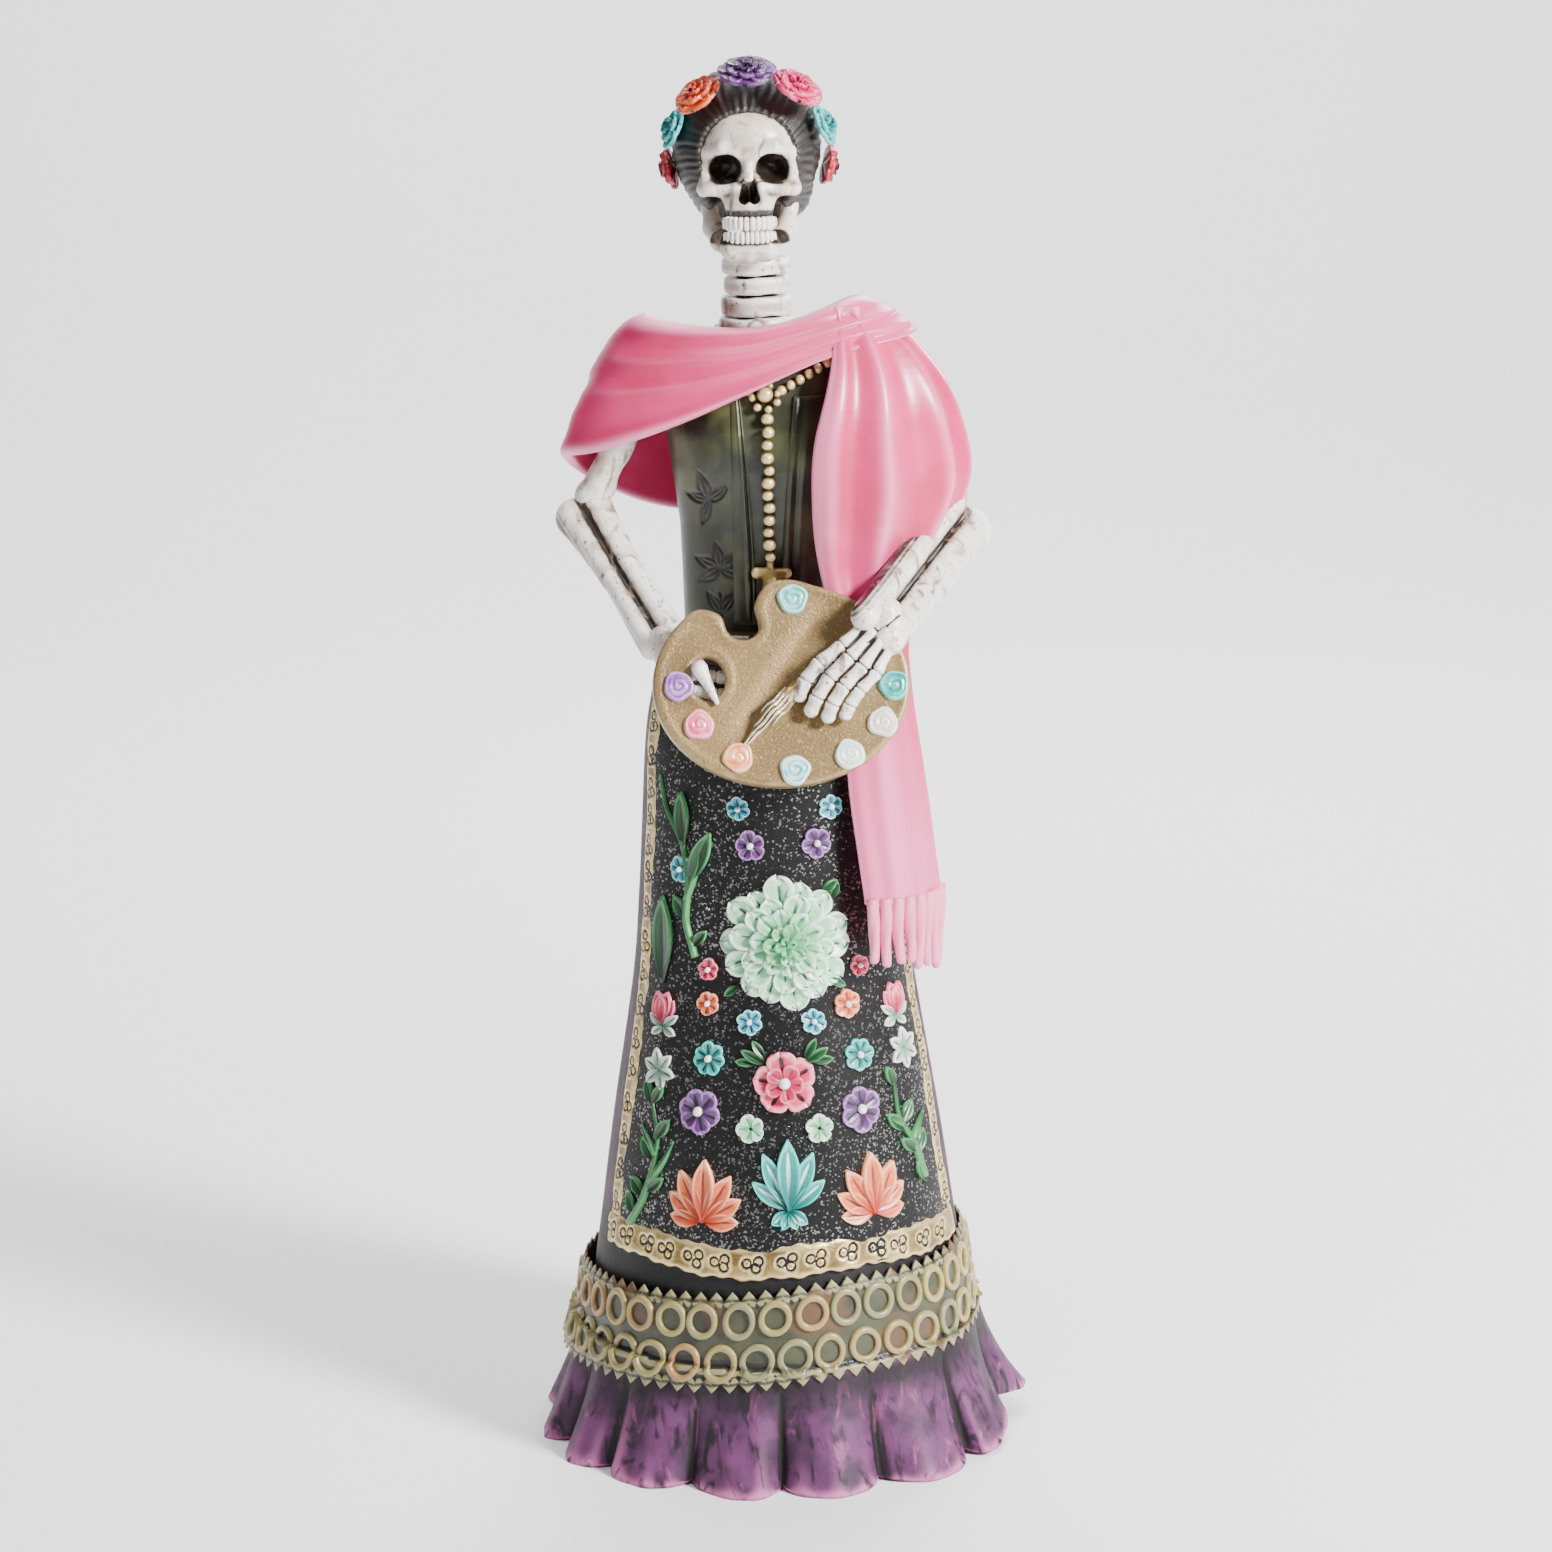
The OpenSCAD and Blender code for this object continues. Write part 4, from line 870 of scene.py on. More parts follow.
def ellipsoid(p, centre, radii):
    q = [(p[k] - centre[k]) / radii[k] for k in range(3)]
    far = np.sqrt(q[0] ** 2 + q[1] ** 2 + q[2] ** 2)
    steep = np.sqrt(sum((q[k] / radii[k]) ** 2 for k in range(3)))
    return far * (far - 1) / np.maximum(steep, 1e-6)


def limb(p, start, end, r_start, r_end):
    """A rounded rod that tapers from start to end."""
    way = [end[k] - start[k] for k in range(3)]
    along = sum((p[k] - start[k]) * way[k] for k in range(3)) / sum(w * w for w in way)
    along = np.clip(along, 0, 1)
    gap = np.sqrt(sum((p[k] - start[k] - along * way[k]) ** 2 for k in range(3)))
    return gap - (r_start + (r_end - r_start) * along)


def skin(form, low, high, step):
    """Points and four-sided faces of the surface where form is zero, on a grid of that step."""
    axes = [np.arange(low[k], high[k] + step, step) for k in range(3)]
    values = form(np.meshgrid(*axes, indexing="ij", sparse=True))
    values = np.ascontiguousarray(np.broadcast_to(values, [len(a) for a in axes]))
    inside = values < 0
    shape = np.array(values.shape) - 1
    total, hits = np.zeros((*shape, 3)), np.zeros(shape)
    corner = [(i, j, k) for i in (0, 1) for j in (0, 1) for k in (0, 1)]

    def at(grid, c):
        return grid[tuple(slice(c[n], c[n] + shape[n]) for n in range(3))]

    for a in corner:
        for axis in range(3):
            if a[axis] == 0:
                b = tuple(v + (n == axis) for n, v in enumerate(a))
                va, vb = at(values, a), at(values, b)
                crossing = at(inside, a) != at(inside, b)
                share = np.where(crossing, va / np.where(crossing, va - vb, 1), 0)
                for n in range(3):
                    total[..., n] += crossing * (a[n] + (share if n == axis else 0))
                hits += crossing
    live = hits > 0
    number = np.full(live.shape, -1, dtype=np.int64)
    number[live] = np.arange(live.sum())
    points = (np.argwhere(live) + total[live] / hits[live][:, None]) * step + np.array([a[0] for a in axes])
    faces = []
    for axis in range(3):
        u, v = [n for n in range(3) if n != axis]
        span = [slice(1, shape[n]) for n in range(3)]
        span[axis] = slice(0, shape[axis])
        ahead = list(span)
        ahead[axis] = slice(1, shape[axis] + 1)
        crossing = inside[tuple(span)] != inside[tuple(ahead)]
        cells = np.argwhere(crossing)
        cells[:, u] += 1
        cells[:, v] += 1
        quad = []
        for du, dv in ((1, 1), (0, 1), (0, 0), (1, 0)):
            cell = cells.copy()
            cell[:, u] -= du
            cell[:, v] -= dv
            quad.append(number[tuple(cell.T)])
        faces.append(np.stack(quad, axis=1))
    return points, np.concatenate(faces)


def to_line(x, z, line):
    """Distance in the picture plane from points to a run of straight strokes."""
    best = np.full(x.shape, 1e9)
    for (xa, za), (xb, zb) in zip(line[:-1], line[1:]):
        dx, dz = xb - xa, zb - za
        t = np.clip(((x - xa) * dx + (z - za) * dz) / (dx * dx + dz * dz), 0, 1)
        best = np.minimum(best, np.hypot(x - xa - t * dx, z - za - t * dz))
    return best


def leaf_strokes(x, z, degrees, length, width):
    """Outline and rib of a scratched leaf."""
    a = math.radians(degrees)
    strokes = [[(x, z), (x - math.sin(a) * length * 0.8, z + math.cos(a) * length * 0.8)]]
    for side in (-1, 1):
        stroke = []
        for k in range(7):
            s = k / 6
            u, v = side * width / 2 * math.sin(math.pi * s**0.85), length * s
            stroke.append((x + u * math.cos(a) - v * math.sin(a), z + u * math.sin(a) + v * math.cos(a)))
        strokes.append(stroke)
    return strokes


olive, tree, shader, colour = painted(
    "olive_lacquer", (0.030, 0.035, 0.013), (0.009, 0.011, 0.005), (0.085, 0.09, 0.035),
    groove_colour=(0.004, 0.004, 0.003),
    roughness=0.42, coat=0.2, blotch_mm=15.0, groove_from=0.22, groove_to=0.5, light_from=0.66, light_to=1.0,
    grain_mm=2.0, grain_depth=0.08)
sheen_cloud = grey(tree, noise(tree, 19.0, 2.0), 0.5, 0.68)
colour = mix(tree, sheen_cloud, colour, (0.070, 0.078, 0.028))
scratch = attribute(tree, "scratch")
tree.links.new(mix(tree, scratch, colour, (0.003, 0.003, 0.002)), shader.inputs["Base Color"])

bodice_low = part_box("bodice")[0]
waist_z = bodice_low.z / MM


def body_half(z):
    """Half width and half depth of the body at a height."""
    wide = np.interp(z, (waist_z - 4, 246, 257, 269, 282, 292, 304, 314, 322, 330),
                     (23.5, 23.8, 24.0, 24.4, 26, 27.4, 29, 28, 15, 9))
    deep = np.interp(z, (waist_z - 4, 250, 270, 285, 296, 306, 316, 324, 330),
                     (16, 16.4, 18.2, 20.4, 20.6, 17.5, 14, 10, 7))
    return wide, deep


# The grid is finer where the sprigs are scratched.
angle = np.concatenate([np.linspace(-math.pi, -1.05, 45, endpoint=False),
                        np.linspace(-1.05, -0.15, 150, endpoint=False),
                        np.linspace(-0.15, math.pi, 90, endpoint=False)])[:, None]
height = np.concatenate([np.linspace(waist_z, 290, 128, endpoint=False), np.linspace(290, 324, 34)])[None, :]
wide, deep = body_half(height)
x = wide * np.sign(np.sin(angle)) * np.abs(np.sin(angle)) ** 0.92
y = 1 - deep * np.cos(angle)
bust = (2.6 * np.exp(-((height - 291) / 11) ** 2)
        * (np.exp(-((x + 13) / 8) ** 2) + np.exp(-((x - 14) / 8) ** 2)))
front = np.clip(np.cos(angle) * 2.2, 0, 1)
y = y - bust * front
strokes = (leaf_strokes(-16.0, 277, 18, 8.5, 3.2) + leaf_strokes(-16.0, 277, -52, 6.5, 2.6)
           + leaf_strokes(-16.0, 277, 78, 6.0, 2.4) + leaf_strokes(-16.0, 277, 165, 7.0, 2.4)
           + [leaf for d in (0, 62, 118, -118, -62) for leaf in leaf_strokes(-13.2, 257.5, d + 8, 7.2, 2.9)]
           + leaf_strokes(-13.0, 244.5, 34, 6.8, 2.6) + leaf_strokes(-13.0, 244.5, -36, 6.8, 2.6)
           + [[(-13.2, 250), (-12.9, 243)]])
engraved = np.full((angle.size, height.size), 1e9)
on_front = (np.cos(angle) > 0.2) & (x < 0)
for stroke in strokes:
    engraved = np.minimum(engraved, to_line(x + 0 * height, height + 0 * x, stroke))
engraved = np.where(on_front, engraved, 9)
groove = np.exp(-((engraved / 0.42) ** 2))
normal_out = np.stack([np.sin(angle) + 0 * height, -np.cos(angle) + 0 * height, 0 * (angle + height)],
                      axis=-1)
outer = np.stack(np.broadcast_arrays(x, y, height), axis=-1) - normal_out * (0.5 * groove)[..., None]
inner = outer * np.array([0.55, 0.55, 1])
inner[..., 2] = np.clip(inner[..., 2], waist_z + 2, 322.5)
points, faces = shell(outer, inner, ring=True)
body_made = build("bodice_body", points, faces, olive, "olive_paint", ["bodice"], form=(9, 0.6))
store(body_made.data, "scratch", np.concatenate([np.clip(groove * 2.4, 0, 1).ravel(),
                                                 np.zeros(outer[..., 0].size)]))


def body_front(x, z):
    """Depth of the bodice's front at a place across it."""
    wide, deep = body_half(z)
    share = np.clip(np.abs(x) / wide, 0, 0.97)
    lump = (2.6 * np.exp(-((z - 291) / 11) ** 2)
            * (np.exp(-((x + 13) / 8) ** 2) + np.exp(-((x - 14) / 8) ** 2)))
    return 1 - deep * np.sqrt(1 - share**2.1) - lump


vest_foot, vest_top = 241.5, 306


def vest_front(inner_line, outer_x, thick):
    """A stiff front whose free edge is folded back on itself like a lapel."""
    rows = np.linspace(0, 1, 90)[:, None]
    z = vest_foot + (vest_top - vest_foot) * rows
    t = np.linspace(0, 1, 46)[None, :]
    edge = np.interp(z, inner_line[0], inner_line[1])
    px = edge + (outer_x - edge) * t
    fold = 1.1 * np.exp(-((t - 0.08) / 0.07) ** 2) + 0.8 * np.exp(-((t - 0.3 - 0.1 * rows) / 0.1) ** 2)
    fold = fold - 0.5 * np.exp(-((t - 0.19 - 0.05 * rows) / 0.04) ** 2)
    fade = np.clip(1.15 - rows, 0.25, 1) * np.clip((z - 241) / 8, 0.2, 1)
    face_y = body_front(px, z + 0 * px)
    proud = thick * (1 - t**6 * 0.9) + fold * fade
    outer = np.stack([px, face_y - proud, z + 0 * px], axis=-1)
    return shell(outer, np.stack([px, face_y + 0.4, z + 0 * px], axis=-1))


vest_parts = [
    vest_front(((241, 262, 285, 306), (-3.0, -3.4, -4.6, -6.6)), -9.4, 0.7),
    vest_front(((241, 258, 285, 312), (4.6, 4.4, 6.4, 9.0)), 18.5, 0.8),
]
vest_made = build("bodice_fronts", *gather(vest_parts), olive, "olive_paint", ["vest_panels"], form=(8, 0.5))
store(vest_made.data, "scratch", np.zeros(len(vest_made.data.vertices)))

# ---------------------------------------------------------------------------
# Necklace: pulp beads rolled and pasted in a string round the neck and another down the front
# A cluster of beads joins the strings; the long one ends in a bell-shaped weight with a cross bar.
# ---------------------------------------------------------------------------
antique_gold, tree, shader, colour = painted(
    "antique_gold", (0.33, 0.22, 0.065), (0.19, 0.125, 0.035), (0.82, 0.66, 0.33),
    groove_colour=(0.010, 0.007, 0.003),
    roughness=0.38, coat=0.2, blotch_mm=8.0, groove_from=0.24, groove_to=0.42, light_from=0.56, light_to=0.8,
    grain_mm=0.5, grain_depth=0.06, metallic=0.4)


def pearls(name, node, beads):
    """Hand-rolled beads, each (centre, radius, height over width). Black paint stays where they touch; each
    bead's front carries a painted highlight and its back painted shade.
    """
    work = bmesh.new()
    for index, (centre, radius, flat) in enumerate(beads):
        place = Matrix.Translation(Vector(centre) * MM) @ Matrix.Rotation(1.3 * index, 4, "Z")
        size = Matrix.Diagonal((1.04, 0.97, flat, 1))
        bmesh.ops.create_uvsphere(work, u_segments=22, v_segments=14, radius=radius * MM,
                                  matrix=place @ size)
    mesh = bpy.data.meshes.new(name)
    work.to_mesh(mesh)
    work.free()
    mesh.polygons.foreach_set("use_smooth", [True] * len(mesh.polygons))
    centres = np.array([centre for centre, _, _ in beads])
    sizes = np.array([radius for _, radius, _ in beads])
    place = np.array([v.co for v in mesh.vertices]) / MM
    far = np.linalg.norm(place[:, None] - centres[None], axis=2) - sizes[None]
    own = np.abs(far).argmin(axis=1)
    # Painted light: the front of each bead, facing the camera and lamps, is made lighter and its back
    # darker.
    front = (centres[own, 1] - place[:, 1]) / sizes[own]
    far[np.arange(len(own)), own] = 9
    store(mesh, "form", np.clip(0.12 + 0.4 * np.clip(far.min(axis=1) / 1.1, 0, 1) + 0.32 * front, 0, 1))
    mesh.materials.append(antique_gold)
    made = bpy.data.objects.new(name, mesh)
    bpy.context.scene.collection.objects.link(made)
    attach(made, "root")
    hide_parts(node)


strand = [(0.9 + 0.25 * math.sin(k * 1.9), 300.3 - k * 3.55, 1.75 + 0.14 * math.sin(k * 2.7))
          for k in range(12)]
pearls("front_strand", "necklace_strand",
       [((x, float(body_front(np.array(x), np.array(z))) - r - 0.5, z), r, 0.96) for x, z, r in strand])
cluster = ([(0.4, 307.0, 2.2)] + [(0.4 + 3.5 * math.cos(a), 306.0 + 3.2 * math.sin(a), 1.15)
                                  for a in np.linspace(0.3, 5.9, 7)])
pearls("bead_cluster", "necklace_ornament",
       [((x, float(body_front(np.array(x), np.array(z))) - r - 1.2, z), r, 1.0) for x, z, r in cluster])
neck_beads = [(0.4 + 4.6 + 2.55 * k, 307.8 + 1.35 * k, 1.45) for k in range(7)]
neck_beads += [(0.4 - 4.6 - 2.55 * k, 307.8 + 1.35 * k, 1.45) for k in range(7)]
pearls("neck_beads", "necklace_chain",
       [((x, float(body_front(np.array(x), np.array(z))) - r - 0.4, z), r, 1.0) for x, z, r in neck_beads])

pendant_low, pendant_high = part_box("pendant")
bar = [(pendant_low.x / MM + 1.6, pendant_high.y / MM - 3.2, 256.6),
       (pendant_high.x / MM - 1.2, pendant_high.y / MM - 3.2, 256.4)]


def pendant_form(p):
    body = limb(p, bar[0], bar[1], 1.65, 1.55)
    body = smooth_min(body, limb(p, (1.2, bar[0][1], 254), (1.2, bar[0][1], 246), 2.3, 3.6), 1.2)
    return smooth_min(body, limb(p, (1.0, bar[0][1], 258.5), (1.0, bar[0][1], 260), 1.1, 0.9), 0.8)


build("strand_weight", *skin(pendant_form, (-6, -26, 241), (9, -10, 262), 0.35), antique_gold, "gold_paint",
      ["pendant"], form=(5, 0.25))

# ---------------------------------------------------------------------------
# Neck: four ring-shaped bones threaded on the dowel
# Bone-white paint, wiped with a black-brown wash that stays in the grooves.
# ---------------------------------------------------------------------------
bone, tree, shader, colour = painted(
    "bone_paint", (0.80, 0.74, 0.66), (0.62, 0.52, 0.43), (0.96, 0.94, 0.90), groove_colour=(0.018, 0.011, 0.008),
    roughness=0.33, coat=0.3, blotch_mm=6.0, groove_from=0.28, groove_to=0.5, light_from=0.52, light_to=0.66,
    grain_mm=0.9, grain_depth=0.05)
smear = grey(tree, noise(tree, 6.0, 6.0, (1, 1, 0.5), 1.5), 0.53, 0.7)
colour = mix(tree, smear, colour, (0.27, 0.19, 0.145))
fleck = grey(tree, noise(tree, 1.1, 6.0), 0.65, 0.69)
tree.links.new(mix(tree, fleck, colour, (0.10, 0.07, 0.05)), shader.inputs["Base Color"])

neck_low, neck_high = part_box("neck_vertebrae")
neck_x, neck_y = (neck_low.x + neck_high.x) / 2 / MM, (neck_low.y + neck_high.y) / 2 / MM


# Neck bones from the lowest up: height of the middle, radius, half of the thickness.
neck_rings = ((323.8, 10.7, 2.7), (329.6, 10.1, 2.7), (335.3, 9.2, 2.4), (340.6, 9.7, 2.3))
rounding = 1.2


def neck_form(p):
    flat = np.sqrt((p[0] - neck_x) ** 2 + ((p[1] - neck_y) * 1.04) ** 2)
    body = flat - 5.4
    body = np.maximum(body, np.abs(p[2] - 334) - 13)
    for z, r, h in neck_rings:
        wave = 0.35 * np.sin((p[0] - neck_x) * 0.4)
        ring = np.maximum(flat - r + rounding, np.abs(p[2] - z - wave) - h + rounding)
        wall = np.sqrt(np.maximum(flat - r + rounding, 0) ** 2
                       + np.maximum(np.abs(p[2] - z) - h + rounding, 0) ** 2) - rounding
        body = smooth_min(body, np.maximum(ring - rounding, wall), 0.7)
    return body


build("neck_bones", *skin(neck_form, (neck_x - 13, neck_y - 13, 318), (neck_x + 13, neck_y + 13, 348), 0.4),
      bone, "bone_paint", ["neck_vertebrae"], form=(8, 0.4))

# ---------------------------------------------------------------------------
# Skull: pressed pulp, a calm generic skull with even brow, round sockets and an open nose
# The jaw is a separate piece glued under it, and two rows of teeth are set between them.
# ---------------------------------------------------------------------------
skull_low, skull_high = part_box("skull")
head = ((skull_low.x + skull_high.x) / 2 / MM, 1.0, 368.0)


def both(build_one):
    """The softest union of a form on her left and its mirror on her right."""
    return smooth_min(build_one(1), build_one(-1), 0.5)


def local(p):
    return [p[k] - head[k] for k in range(3)]


def sockets(q):
    return both(lambda s: ellipsoid([q[0] - s * 6.6, q[1] + 15.4, q[2] - 0.7 + s * 0.1 * (q[0] - s * 6.6)],
                                    (0, 0, 0), (4.55, 8.6, 4.05)))


def nose_opening(q):
    flat = [q[0], (q[1] + 16.4) * 0.34, q[2]]
    return both(lambda s: limb(flat, (s * 1.4, 0, -7.4), (s * 0.6, 0, -3.2), 1.5, 0.85))


def cheek_hollows(q):
    return both(lambda s: ellipsoid(q, (s * 10.6, -12.2, -12.0), (3.9, 6.4, 4.9)))


def skull_form(p):
    q = local(p)
    body = ellipsoid(q, (0, 3, 7.6), (15.4, 17.6, 16.4))
    body = smooth_min(body, ellipsoid(q, (0, -6.6, 6.6), (13.2, 10.6, 11.2)), 3)
    body = smooth_min(body, ellipsoid(q, (0, -11.4, -9.2), (7.7, 6.7, 6.6)), 3)
    body = smooth_min(body, both(lambda s: ellipsoid(q, (s * 10.2, -10.8, -5.2), (4.2, 4.8, 2.7))), 2.6)
    body = smooth_min(body, both(lambda s: limb(q, (s * 12.2, -8.8, -5.4), (s * 13.8, 3, -4.6), 1.7, 1.5)),
                      1.8)
    body = smooth_min(body, both(lambda s: limb(q, (s * 11.9, -10.2, -4.2), (s * 12.2, -9.8, 4.6), 1.7,
                                                1.7)), 1.8)
    body = smooth_min(body, both(lambda s: limb(q, (s * 2.8, -15.9, 5.0), (s * 7.0, -15.2, 6.1), 1.4, 1.4)),
                      2.0)
    body = smooth_min(body, both(lambda s: limb(q, (s * 7.0, -15.2, 6.1), (s * 11.4, -11.2, 5.0), 1.4, 1.4)),
                      2.0)
    body = smooth_min(body, both(lambda s: limb(q, (s * 3.6, -15.8, -4.2), (s * 9.4, -13.4, -4.6), 1.3,
                                                1.4)), 1.6)
    body = smooth_min(body, limb(q, (0, -15.8, 3.6), (0, -18.2, -1.6), 1.5, 1.3), 1.8)
    body = smooth_min(body, both(lambda s: limb(q, (s * 3.1, -16.2, -4.8), (s * 3.3, -15.6, -9.2), 1.1,
                                                1.3)), 1.4)
    body = cut(body, sockets(q), 0.9)
    body = cut(body, nose_opening(q), 0.5)
    body = cut(body, cheek_hollows(q), 1.6)
    for k in range(-3, 4):
        a = k * 0.3
        foot = (7.3 * math.sin(a), -11.3 - 5.9 * math.cos(a), -13.4)
        body = smooth_min(body, limb(q, foot, (foot[0] * 0.95, foot[1] + 0.3, -10.4), 0.75, 0.4), 0.8)
    body = cut(body, ellipsoid(q, (0, -4, -19), (9.5, 11, 6.5)), 0.8)
    return body


def darken_into(made, hollow, soft_mm):
    """Lets the dark groove colour run into a hollow: a form that is negative inside it. In the grooves of
    bone it is dark antique paint; along the forearms' shaded edge it is painted shade.
    """
    mesh = made.data
    place = np.array([v.co for v in mesh.vertices]) / MM
    near = hollow([place[:, k] for k in range(3)])
    form = np.empty(len(mesh.vertices))
    mesh.attributes["form"].data.foreach_get("value", form)
    store(mesh, "form", form * np.clip(0.5 + near / soft_mm, 0, 1))


skull_made = build("skull_bone", *skin(skull_form, (head[0] - 18, -22, 348), (head[0] + 18, 24, 394), 0.34),
                   bone, "bone_paint", ["skull"], form=(8, 0.5))


def dark_hollows(p):
    q = local(p)
    deep = np.minimum(np.maximum(sockets(q) - 0.3, -(q[1] + 14.8)),
                      np.maximum(nose_opening(q) - 0.4, -(q[1] + 17.4)))
    teeth_line = np.maximum(np.abs(q[2] + 13.6) - 2.6, q[1] + 11.5)
    return np.minimum(np.minimum(deep, cheek_hollows(q) + 0.2), teeth_line)


darken_into(skull_made, dark_hollows, 2.4)


def jaw_form(p):
    q = local(p)
    line = [(0, -15.2, -21.6, 3.4), (4.4, -14.6, -21.3, 3.3), (8.0, -10, -19.4, 2.9),
            (10.2, -4.4, -16.4, 2.7), (11.2, -1.2, -11, 2.1), (11.8, 0.6, -5.4, 1.8)]

    def side(s):
        body = None
        for (ax, ay, az, ar), (bx, by, bz, br) in zip(line[:-1], line[1:]):
            length = limb(q, (s * ax, ay, az), (s * bx, by, bz), ar, br)
            body = length if body is None else smooth_min(body, length, 1.6)
        return body

    body = both(side)
    arch = np.sqrt((q[0] / 1.12) ** 2 + (q[1] + 11.2) ** 2)
    ridge = np.maximum(np.abs(arch - 6.2) - 1.2, np.abs(q[2] + 19.6) - 1.5)
    return smooth_min(body, np.maximum(ridge, q[1] + 9), 1.4)


jaw_made = build("jaw_bone", *skin(jaw_form, (head[0] - 17, -22, 340), (head[0] + 17, 6, 366), 0.34),
                 bone, "bone_paint", ["jaw"], form=(8, 0.5))
darken_into(jaw_made, lambda p: np.maximum(np.abs(local(p)[2] + 17.6) - 2.0, local(p)[1] + 11.5), 2.2)


def tooth(centre, turn, half, tall):
    """A squared-off tooth, wider at its biting edge."""
    a = np.linspace(0, 2 * math.pi, 16, endpoint=False)[:, None]
    rise = np.array([-1.0, -0.97, -0.8, -0.4, 0.1, 0.55, 0.85, 0.98, 1.0])[None, :]
    swell = np.array([0.25, 0.6, 0.92, 1.0, 0.98, 0.9, 0.72, 0.45, 0.15])[None, :]
    square = (np.abs(np.cos(a)) ** 3.5 + np.abs(np.sin(a)) ** 3.5) ** (-1 / 3.5)
    u, v = half * swell * square * np.cos(a), 0.85 * swell * square * np.sin(a)
    x = centre[0] + u * math.cos(turn) - v * math.sin(turn)
    y = centre[1] + u * math.sin(turn) + v * math.cos(turn)
    grid = np.stack(np.broadcast_arrays(x, y, centre[2] + rise * tall), axis=-1)
    inside = np.array(centre) + (grid - np.array(centre)) * 0.3
    return shell(grid, inside, ring=True)


def teeth(name, node, z, tall, sizes, spread, up):
    parts, place = [], 0.0
    row = [*sizes[::-1], *sizes]
    total = sum(row)
    for size in row:
        place += size / 2
        a = (place / total - 0.5) * spread
        place += size / 2
        centre = (head[0] + 7.6 * math.sin(a), head[1] - 12.2 - 6.4 * math.cos(a), head[2] + z)
        parts.append(tooth(centre, a, size * 0.385, tall * (1 if abs(a) < 1 else 0.85)))
        parts[-1] = (np.stack([parts[-1][0][:, 0], parts[-1][0][:, 1],
                               centre[2] + (parts[-1][0][:, 2] - centre[2]) * up], axis=1), parts[-1][1])
    build(name, *gather(parts), bone, "bone_paint", [node], form=(4, 0.26))


teeth("teeth_above", "upper_teeth", -14.1, 1.9, [1.95, 1.7, 1.75, 1.7, 1.6, 1.6], 2.35, -1)
teeth("teeth_below", "lower_teeth", -17.9, 1.7, [1.45, 1.55, 1.7, 1.7, 1.6, 1.6], 2.25, 1)

# ---------------------------------------------------------------------------
# Hair: one shell of pulp over the skull, combed back in strands with a comb while damp
# The hair is drawn to a roll low at the nape.
# ---------------------------------------------------------------------------
hair_paint, tree, shader, colour = painted(
    "hair_paint", (0.016, 0.012, 0.010), (0.008, 0.006, 0.005), (0.060, 0.046, 0.038),
    groove_colour=(0.003, 0.002, 0.002),
    roughness=0.5, coat=0.08, blotch_mm=5.0, groove_from=0.2, groove_to=0.4, light_from=0.62, light_to=0.95,
    grain_mm=0.8, grain_depth=0.15)


def hair_form(p):
    q = local(p)
    body = ellipsoid(q, (-0.6, 3, 6), (20.8, 20.3, 22.0))
    body = smooth_min(body, ellipsoid(q, (0.8, 7, -7), (16.8, 12.5, 11.5)), 3)
    body = smooth_min(body, ellipsoid(q, (0, 20, -6), (14.5, 8.6, 10.5)), 1.6)
    body = cut(body, ellipsoid(q, (0, 3, 7.6), (15.6, 17.8, 16.6)), 0.4)
    face = smooth_min(ellipsoid(q, (0, -19, -10), (16, 15.5, 22)),
                      ellipsoid(q, (0, -19, 3.4), (15.2, 14, 13.6)), 2)
    body = cut(body, face, 1.2)
    body = cut(body, np.maximum(ellipsoid(q, (0, -4, -22), (15, 13, 15)), q[2] + 6), 1.2)
    # Strands sweep back from the brow; at the nape they wind round the roll.
    theta = np.arctan2(q[0], q[2] - 2)
    comb = (np.sin(52 * theta + 2.6 * np.sin(q[1] * 0.3 + 3 * theta))
            + 0.8 * np.sin(31 * theta + q[1] * 0.4 + 2 * np.sin(4 * theta)))
    wind = np.sin(2.6 * np.sqrt(q[0] ** 2 + (q[2] + 6) ** 2) + 2 * np.arctan2(q[2] + 6, q[0]))
    at_roll = np.clip((q[1] - 19) / 4, 0, 1) * (q[2] < 6)
    return body + 0.13 * (comb * (1 - at_roll) + 1.8 * wind * at_roll)


build("hair_shell", *skin(hair_form, (head[0] - 24, -20, 345), (head[0] + 23, 32, 398), 0.38),
      hair_paint, "hair_paint", ["hair"], form=(4, 0.2))

